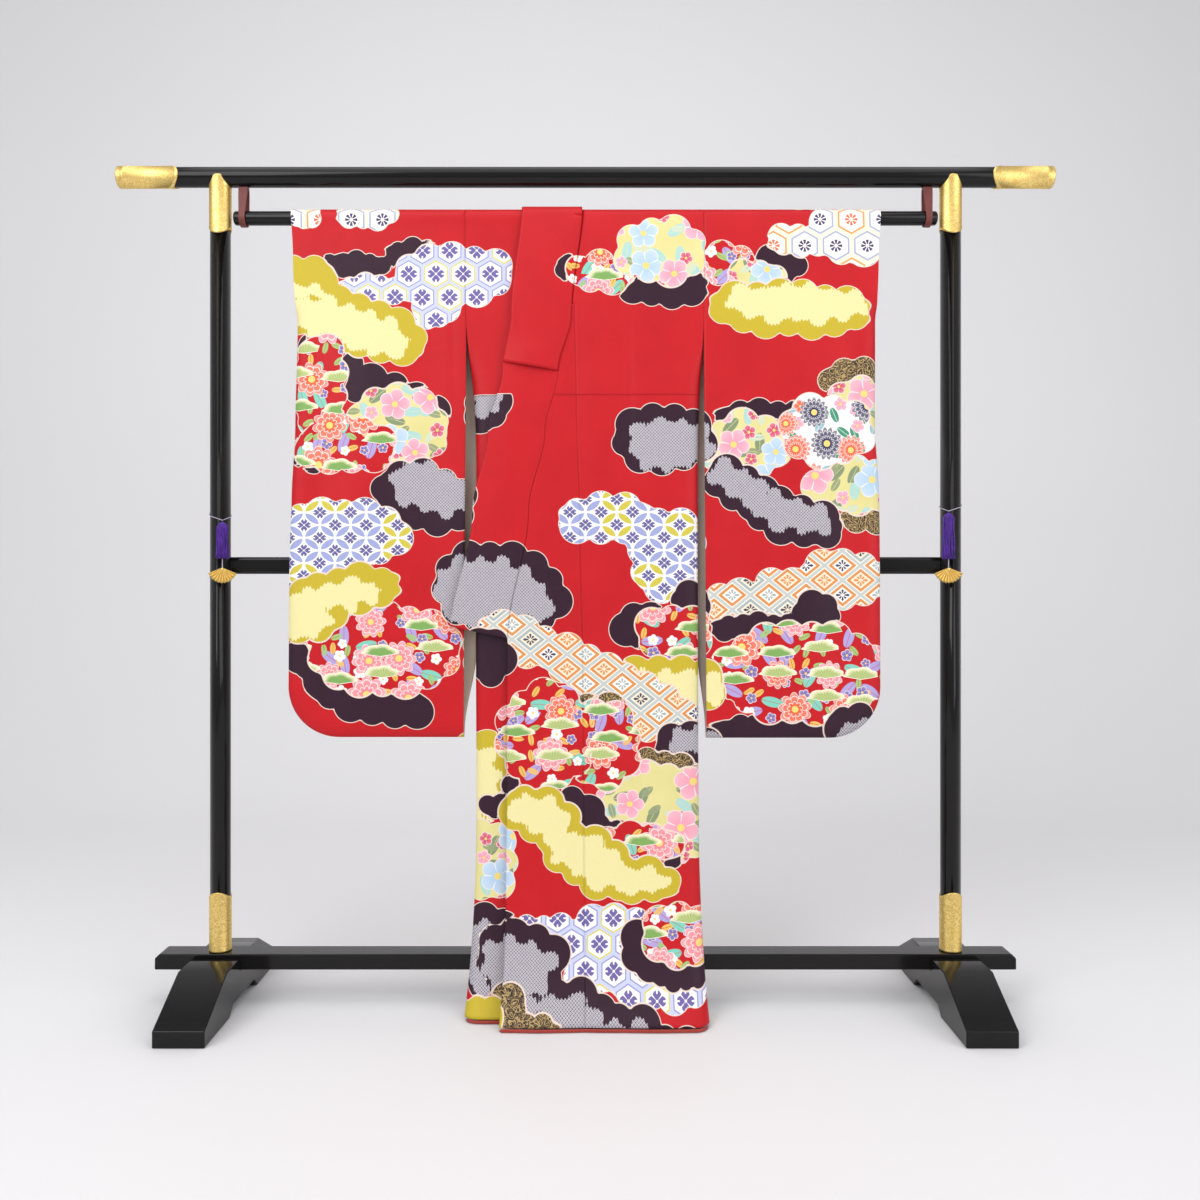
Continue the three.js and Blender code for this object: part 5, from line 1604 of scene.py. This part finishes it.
@dataclass
class Rack:
    """The lacquered rack: top bar, posts, rail, beam, feet, hanging rod, straps and gilt fittings."""

    bar_height: float = 1647.0
    bar_radius: float = 20.0
    bar_half: float = 933.0
    cap_length: float = 125.0
    fitting_radius: float = 22.0
    post_x: float = 730.0
    strap_x: float = 683.0
    fitting_bottom: float = 1530.0
    fitting_top: float = 222.0
    beam_top: float = 102.0

    def __post_init__(self) -> None:
        """Mixes the rack's finishes."""
        self.lacquer = Lacquer().material()
        self.gilt = Gilt().material()
        self.leather = Leather().material()

    def build(self) -> None:
        """Builds every piece of the rack."""
        self.bars()
        for side, sign in (("right", -1), ("left", 1)):
            self.cap(side, sign)
            self.post(side, sign * self.post_x)
            self.foot(side, sign * self.post_x)
            self.strap(side, sign * self.strap_x)
        self.rail()
        self.beam()

    def lacquered(self, node: str, points: Array, faces: Sequence[Face] | None = None) -> bpy.types.Object:
        """Makes a lacquered piece that stands for a solid."""
        return solid(f"{node}_lacquer", points, faces, "lacquer", self.lacquer, node)

    def bars(self) -> None:
        """Makes the top bar and the hanging rod, both turned about X with rounded ends."""
        length, eased = self.bar_half - 3, self.bar_radius - 2
        half = [(0, length), (eased, length), (self.bar_radius, length - 2)]
        bar = turned([*[(r, -x) for r, x in half], *half[::-1]])
        bar[..., 2] += self.bar_height
        ease(self.lacquered("top_bar", bar), 0.6)
        half, thick, round_end = 702, 14, 5
        bend = np.radians(np.linspace(0, 90, 7))
        end = [(thick + round_end * (math.sin(a) - 1), half + round_end * (math.cos(a) - 1)) for a in bend]
        rod = turned([(0, -half), *[(r, -x) for r, x in end], *end[::-1], (0, half)])
        rod[..., 2] += ROD_HEIGHT
        self.lacquered("hanging_rod", rod)

    def cap(self, side: str, sign: int) -> None:
        """Makes a gilt cap on a bar's end: a turned cup with a bead at its mouth and a ring near its end."""
        mouth, end = self.bar_half - self.cap_length, self.bar_half
        bead = [(21.6 + 0.6 * math.sin(a), mouth + 3 - 3 * math.cos(a)) for a in np.linspace(0, math.pi, 9)]
        ring = [(21.6 + 0.5 * math.sin(a), end - 14 - 2.5 * math.cos(a)) for a in np.linspace(0, math.pi, 7)]
        lip = [(19 + 3 * math.sin(a), end - 3 + 3 * math.cos(a)) for a in np.linspace(math.pi / 2, 0, 6)]
        inside = self.bar_radius + SEAM
        hollow = [(0, end - 2.7), (inside, end - 2.7), (inside, mouth)]
        points = turned([*hollow, *bead, *ring, *lip, (12, end - 0.2), (0, end)])
        radius = self.fitting_radius
        fallen = radius - np.sqrt(np.maximum(radius**2 - points[..., 2] ** 2, 0))
        points[..., 0] += fallen * (points[..., 0] < mouth + 8)
        points[..., 0] *= sign
        points[..., 2] += self.bar_height
        node = f"bar_cap_{side}"
        solid(f"{node}_gilt", points, None, "gilt", self.gilt, node)

    def saddle(self, y: Array) -> Array:
        """Returns the height of the hollow that fits under the top bar, at a depth y."""
        return self.bar_height - np.sqrt(np.maximum((self.bar_radius + SEAM) ** 2 - y * y, 0))

    def post(self, side: str, x: float) -> None:
        """Makes a post and its two gilt fittings: a bar along Z whose top is hollowed for the bar it carries.

        Args:
            side: right or left.
            x: the post's X.
        """
        a = np.linspace(0, 2 * np.pi, 72, endpoint=False)
        foot = self.beam_top + SEAM
        # each ring's radius and its height above the beam, or None where it lies on the saddle
        rings = [(0, 0), (18.8, 0), (20, 1.2), (20, None), (14, None), (7, None), (0, None)]
        layers = []
        for radius, above in rings:
            y = radius * np.sin(a)
            z = self.saddle(y) if above is None else np.full_like(a, foot + above)
            layers.append(np.stack([x + radius * np.cos(a), y, z], -1))
        self.lacquered(f"post_{side}", np.stack(layers))

        def sleeve(node: str, bottom: Callable, top: Callable) -> None:
            """Makes a gilt sleeve round the post: a thin ring wall with a bead at each end."""
            walls = []
            for radius, share, lift in (
                (20.3, 0, 0), (21.4, 0, 0), (22.2, 0, 1.6), (22.2, 0, 3.4), (21.6, 0, 5), (21.6, 1, -5),
                (22.0, 1, -3.6), (22.0, 1, -1.2), (21.5, 1, 0), (20.3, 1, 0),
            ):
                y = radius * np.sin(a)
                off = radius * np.cos(a)
                z = between(bottom(off, y), top(off, y), share) + lift
                walls.append(np.stack([x + off, y, z], -1))
            quads = ring_faces(len(walls), len(a), closed_rows=True)
            solid(f"{node}_gilt", np.stack(walls), quads, "gilt", self.gilt, node)

        half = self.fitting_radius + 2

        def tongue(off: Array) -> Array:
            """Returns how far a rounded tongue falls back at a distance off its middle."""
            return half - np.sqrt(np.maximum(half**2 - off * off, 0))

        low, high = self.fitting_bottom, self.fitting_top
        sleeve(f"upper_fitting_{side}", lambda off, _: low + tongue(off), lambda _, y: self.saddle(y))
        sleeve(f"lower_fitting_{side}", lambda off, _: foot + 0 * off, lambda off, _: high - tongue(off))

    def carried(
        self,
        node: str,
        outline: Sequence[tuple[float, float]] | Array,
        axis: int,
        ends: tuple[float | Array, float | Array],
        edge: float,
    ) -> None:
        """Makes a lacquered piece from an outline carried along an axis, with eased edges.

        Args:
            node: the solid that it stands for.
            outline: the points in the two other axes, in order.
            axis: 0 to carry it along X, 1 along Y.
            ends: where it starts and stops, for the whole outline or for each of its points.
            edge: the width of the eased edges.
        """
        side = np.array(outline, float)
        count = len(side)
        points = np.concatenate([np.insert(side, axis, end, axis=1) for end in ends])
        wall = [(k, (k + 1) % count, count + (k + 1) % count, count + k) for k in range(count)]
        faces = [tuple(range(count)), tuple(range(2 * count - 1, count - 1, -1)), *wall]
        ease(self.lacquered(node, points, faces), edge)

    def foot(self, side: str, x: float) -> None:
        """Makes a foot: flat on top, sloped to both ends, arched below, and notched for the beam."""
        half_width, notch, notch_floor = 47.5, 26.3, 70.7
        outline = [
            (-230, 0), (-88, 0), (-68, 18), (68, 18), (88, 0), (230, 0), (230, 31), (102, 94), (notch, 94),
            (notch, notch_floor), (-notch, notch_floor), (-notch, 94), (-102, 94), (-230, 31),
        ]
        self.carried(f"foot_{side}", outline, 0, (x - half_width, x + half_width), 2.6)

    def beam(self) -> None:
        """Makes the base beam: a flat board along X with chamfered ends."""
        half, bottom, top, chamfer = 852.0, 71, self.beam_top, 9
        outline = [
            (-half, bottom), (half, bottom), (half, top - chamfer), (half - chamfer, top),
            (chamfer - half, top), (-half, top - chamfer),
        ]
        self.carried("base_beam", outline, 1, (-26.0, 26.0), 2.2)

    def rail(self) -> None:
        """Makes the middle rail: a rounded oblong carried along X, its ends hollowed to fit the posts."""
        bend = np.radians(np.arange(0, 91, 10))
        behind, height, corner = 9, 871, 6.0
        outline = []
        for y, z, start in ((4, 11, 0), (-4, 11, 90), (-4, -11, 180), (4, -11, 270)):
            angle = bend + math.radians(start)
            across, up = behind + y + corner * np.cos(angle), height + z + corner * np.sin(angle)
            outline.append(np.column_stack([across, up]))
        section = np.concatenate(outline)
        hollow = np.sqrt(np.maximum((self.bar_radius + SEAM) ** 2 - section[:, 0] ** 2, 0))
        reach = self.post_x - hollow - 0.05
        self.carried("middle_rail", section, 0, (-reach, reach), 0.5)

    def strap(self, side: str, x: float) -> None:
        """Makes a leather loop that carries the rod: a band between an outer and an inner line.

        Each line comes down one side, round a half circle under the rod and up the other side. The band
        narrows on its way down.
        """
        low_half, taper = 6.4, 3
        top = self.bar_height - self.bar_radius - SEAM
        turn = np.radians(np.linspace(0, -180, 33))

        def line(radius: float, throat: float, high: float) -> Array:
            """Returns the loop's points in Y and Z."""
            down = np.column_stack([np.linspace(throat, radius, 12), np.linspace(high, ROD_HEIGHT, 12)])[:-1]
            under = np.column_stack([radius * np.cos(turn), ROD_HEIGHT + radius * np.sin(turn)])
            up = np.column_stack([-down[::-1, 0], down[::-1, 1]])
            return np.concatenate([down, under, up])

        outer, inner = line(17.6, 6, top), line(14.6, 3, top - 6)
        points = []
        for path, way in ((outer, -1), (outer, 1), (inner, 1), (inner, -1)):
            half = low_half + taper * ramp(path[:, 1], ROD_HEIGHT, top)
            points.append(np.column_stack([x + way * half, path]))
        quads = ring_faces(len(points), len(outer), closed_rows=True)
        node = f"rod_strap_{side}"
        ease(solid(f"{node}_leather", np.stack(points), quads, "leather", self.leather, node), 0.8, 2)


@dataclass
class Ornament:
    """What hangs at a post in front of the rail: a slung line, a silk tassel, and a small fan on a thread."""

    side: str
    sign: int
    knot: float
    bottom: float
    front: float = -31.0
    hang_x: float = 716.0
    post_x: float = 730.0
    pivot: float = 866.0

    @property
    def x(self) -> float:
        """Returns X of the tassel and the fan."""
        return self.sign * self.hang_x

    def thread_piece(self, node: str, points: Array, faces: Array, finish: bpy.types.Material) -> None:
        """Makes a piece of silk thread that stands for a solid."""
        solid(f"{node}_silk", points, faces, "purple_silk", finish, node)

    def build(self) -> None:
        """Builds the four pieces."""
        made = bpy.data.materials
        thread = made.get("purple_thread") or Thread().material()
        pale = Thread("pale_line", srgb(150, 138, 160), srgb(206, 198, 212))
        line = made.get(pale.name) or pale.material()
        gold = made.get("fan_gilt") or Gilt("fan_gilt", 160.0).material()
        self.tie(line)
        self.tassel(thread)
        top, low = self.bottom - SEAM - 0.2, self.pivot - 4 + SEAM + 0.2
        path = np.column_stack([np.full(9, self.x), np.full(9, self.front), np.linspace(top, low, 9)])
        self.thread_piece(f"fan_thread_{self.side}", *tube(path, 0.9), line)
        self.fan(gold)

    def tie(self, finish: bpy.types.Material) -> None:
        """Makes the slung line: straight from the tassel's top to both sides of the post, then round it.

        The straight runs touch the post's circle where they are tangents to it. The height grows by the tilt
        times the distance behind the tassel.
        """
        post = self.sign * self.post_x
        reach = np.array([self.x - post, self.front])
        length, radius, tilt = float(np.hypot(*reach)), 20 + 0.4 + 0.8, 0.36
        facing, half = math.atan2(reach[1], reach[0]), math.acos(radius / length)
        a = facing + np.linspace(half, 2 * np.pi - half, 96)
        arc = radius * np.column_stack([np.cos(a), np.sin(a)])
        there, back = (between(start, end, np.linspace(0, 1, 14)[:-1, None])
                       for start, end in ((reach, arc[0]), (arc[-1], reach)))
        path = np.concatenate([there, arc[:-1], back])
        behind = length - path @ reach / length
        path = np.column_stack([path + [post, 0.0], self.knot + SEAM + 1.2 + behind * tilt])
        self.thread_piece(f"tassel_tie_{self.side}", *tube(np.concatenate([path, path[:1]]), 0.8), finish)

    def tassel(self, finish: bpy.types.Material) -> None:
        """Makes a tassel: strands that come out of a crown of loops and hang, spreading a little.

        Each strand starts on a golden-angle spiral, at a distance that grows with the square root of its
        number, and leans out by a power of its way down. Each loop of the crown is a half oval. The bundle is
        wider than it is deep.
        """
        golden, widened, loops = 2.39996, 1.45, 16
        head, count, down = self.knot - 2, 120, np.linspace(0, 1, 9)
        k = np.arange(count)
        spin, root = k * golden, np.sqrt((k + 0.5) / count)
        parts = []
        for number in range(count):
            reach = self.bottom - head + 4.5 * ((number * 7) % 5) / 5
            away = 7.4 * root[number] * (1 + 0.2 * down**1.4 + 0.07 * np.sin(5 * down + 2.1 * number))
            sway = spin[number] + 0.16 * np.sin(3 * down + number)
            start = head - 1 - 8 * root[number] ** 3
            parts.append(tube(np.column_stack([
                self.x + widened * away * np.cos(sway),
                self.front + away * np.sin(sway),
                start + (head - start + reach) * down,
            ]), 0.62, 5))
        a = np.linspace(0, np.pi, 13)
        for number in range(loops):
            lean, wide = number * golden, 3.0 + 3.4 * ((number * 5) % 7) / 7
            out = wide * np.cos(a)
            parts.append(tube(np.column_stack([
                self.x + widened * out * math.cos(lean),
                self.front + out * math.sin(lean),
                head - 8 + (10 - 0.6 * wide) * np.sin(a),
            ]), 0.8, 6))
        self.thread_piece(f"tassel_{self.side}", *joined(parts), finish)

    def fan(self, finish: bpy.types.Material) -> None:
        """Makes the fan charm: a fluted sector, pivot up, with a notched rim and a rivet.

        The depth at an angle is a triangle wave of the ribs, growing with the distance from the pivot.
        """
        hub, radius, spread, ribs = 3.6, 31.0, 2.35, 10
        angle = -math.pi / 2 + np.linspace(-0.5, 0.5, 2 * ribs * 4 + 1) * spread
        wave = 1 - abs((np.arange(angle.size) / 4) % 2 - 1) * 2
        r = np.array([hub, 8, 13, 18, 23, 27, radius])[:, None]
        notch = np.where(r > 26, 2.4 * (1 - abs(wave)), 0.0)
        depth = wave * (0.3 + 2.1 * r / radius)
        shape = np.broadcast_shapes(r.shape, angle.shape)
        leaf = np.stack([
            self.x + (r - notch) * np.cos(angle),
            np.broadcast_to(self.front + depth, shape),
            self.pivot + (r - notch) * np.sin(angle),
        ], -1)
        node = f"fan_charm_{self.side}"
        mesh = mesh_of(f"{node}_gilt", leaf.reshape(-1, 3), quads_of(*leaf.shape[:2]))
        mesh.materials.append(finish)
        piece = link_piece(mesh.name, mesh, "gilt", node)
        wall = piece.modifiers.new("wall", "SOLIDIFY")
        wall.thickness, wall.offset = 0.8 * MM, 0
        button = [(0, -2.6), (2.4, -2.4), (3.2, -1.2), (3.2, 1.2), (2.4, 2.4), (0, 2.6)]
        rivet = turned(button, 24)[..., [1, 0, 2]] + np.array([self.x, self.front, self.pivot - hub + 0.6])
        solid(f"fan_rivet_{self.side}", rivet, None, "gilt", finish)


# ---------------------------------------------------------------- the studio
@dataclass
class Studio:
    """A plain pale floor and backdrop, soft lights, and the camera."""

    floor_colour: Colour = srgb(236, 235, 235)

    def build(self) -> None:
        """Sets the whole studio up, with colours shown plainly."""
        view = bpy.context.scene.view_settings
        view.view_transform, view.look = "Standard", "None"
        self.camera()
        self.backdrop()
        self.lights()

    def camera(self) -> None:
        """Sets the camera level, in front of the middle of the rack."""
        data = bpy.data.cameras.new("camera")
        data.lens, data.sensor_width = 33.0, 36.0
        data.shift_x, data.shift_y = 0.0121, -0.0092
        data.clip_end = 60
        camera = bpy.data.objects.new("camera", data)
        camera.location = (0.0, -2.2, 0.824)
        camera.rotation_euler = (math.radians(90), 0, 0)
        bpy.context.scene.collection.objects.link(camera)
        bpy.context.scene.camera = camera

    def backdrop(self) -> None:
        """Makes the floor and, far behind, a wall that it curves up into by a quarter circle."""
        bend = np.radians(np.linspace(0, 90, 19))
        y = np.concatenate([[-24.0, 0.0], 1.6 + 1.2 * np.sin(bend), [2.8]])
        z = np.concatenate([[0.0, 0.0], 1.2 - 1.2 * np.cos(bend), [9.0]])
        x = np.array([-24.0, 24.0])
        points = np.stack([np.broadcast_to(x, (len(y), 2)), np.stack([y, y], -1), np.stack([z, z], -1)], -1)
        mesh = mesh_of("floor", points.reshape(-1, 3) / MM, quads_of(len(y), 2))
        r = Recipe("pale_floor")
        darker = tuple(0.96 * value for value in self.floor_colour)
        colour = r.mix(r.noise(r.place(), 0.7, 2), self.floor_colour, darker)
        mesh.materials.append(r.finish({"Base Color": colour, "Roughness": 0.7}))
        floor = bpy.data.objects.new("floor", mesh)
        bpy.context.scene.collection.objects.link(floor)

    def lights(self) -> None:
        """Adds three soft lamps and a pale surround."""
        for name, place, aim, size, power in (
            ("key", (-2.4, -3.0, 3.0), (0, 0, 0.9), 2.6, 84),
            ("fill", (2.8, -2.6, 1.8), (0, 0, 0.9), 2.6, 46),
            ("top", (0.0, -0.6, 3.6), (0, 0.2, 0.6), 3.0, 40),
        ):
            data = bpy.data.lights.new(name, "AREA")
            data.size, data.energy = size, power
            lamp = bpy.data.objects.new(name, data)
            lamp.location = place
            away = np.array(place) - np.array(aim)
            tilt, turn = math.atan2(math.hypot(away[0], away[1]), away[2]), math.atan2(away[0], -away[1])
            lamp.rotation_euler = (tilt, 0, turn)
            bpy.context.scene.collection.objects.link(lamp)
        world = bpy.data.worlds.new("surround")
        world.use_nodes = True
        sky = world.node_tree.nodes["Background"].inputs
        sky["Color"].default_value, sky["Strength"].default_value = (0.93, 0.94, 1.0, 1.0), 0.55
        bpy.context.scene.world = world


def main() -> None:
    """Builds the studio, the rack, its ornaments and the garment on the packed frame, and notes the sizes."""
    logging.basicConfig(level=logging.INFO, format="%(name)s: %(message)s")
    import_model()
    Studio().build()
    Rack().build()
    Ornament("right", -1, 958, 884).build()
    Ornament("left", 1, 976, 883).build()
    Kimono().build()


if __name__ == "__main__":
    main()
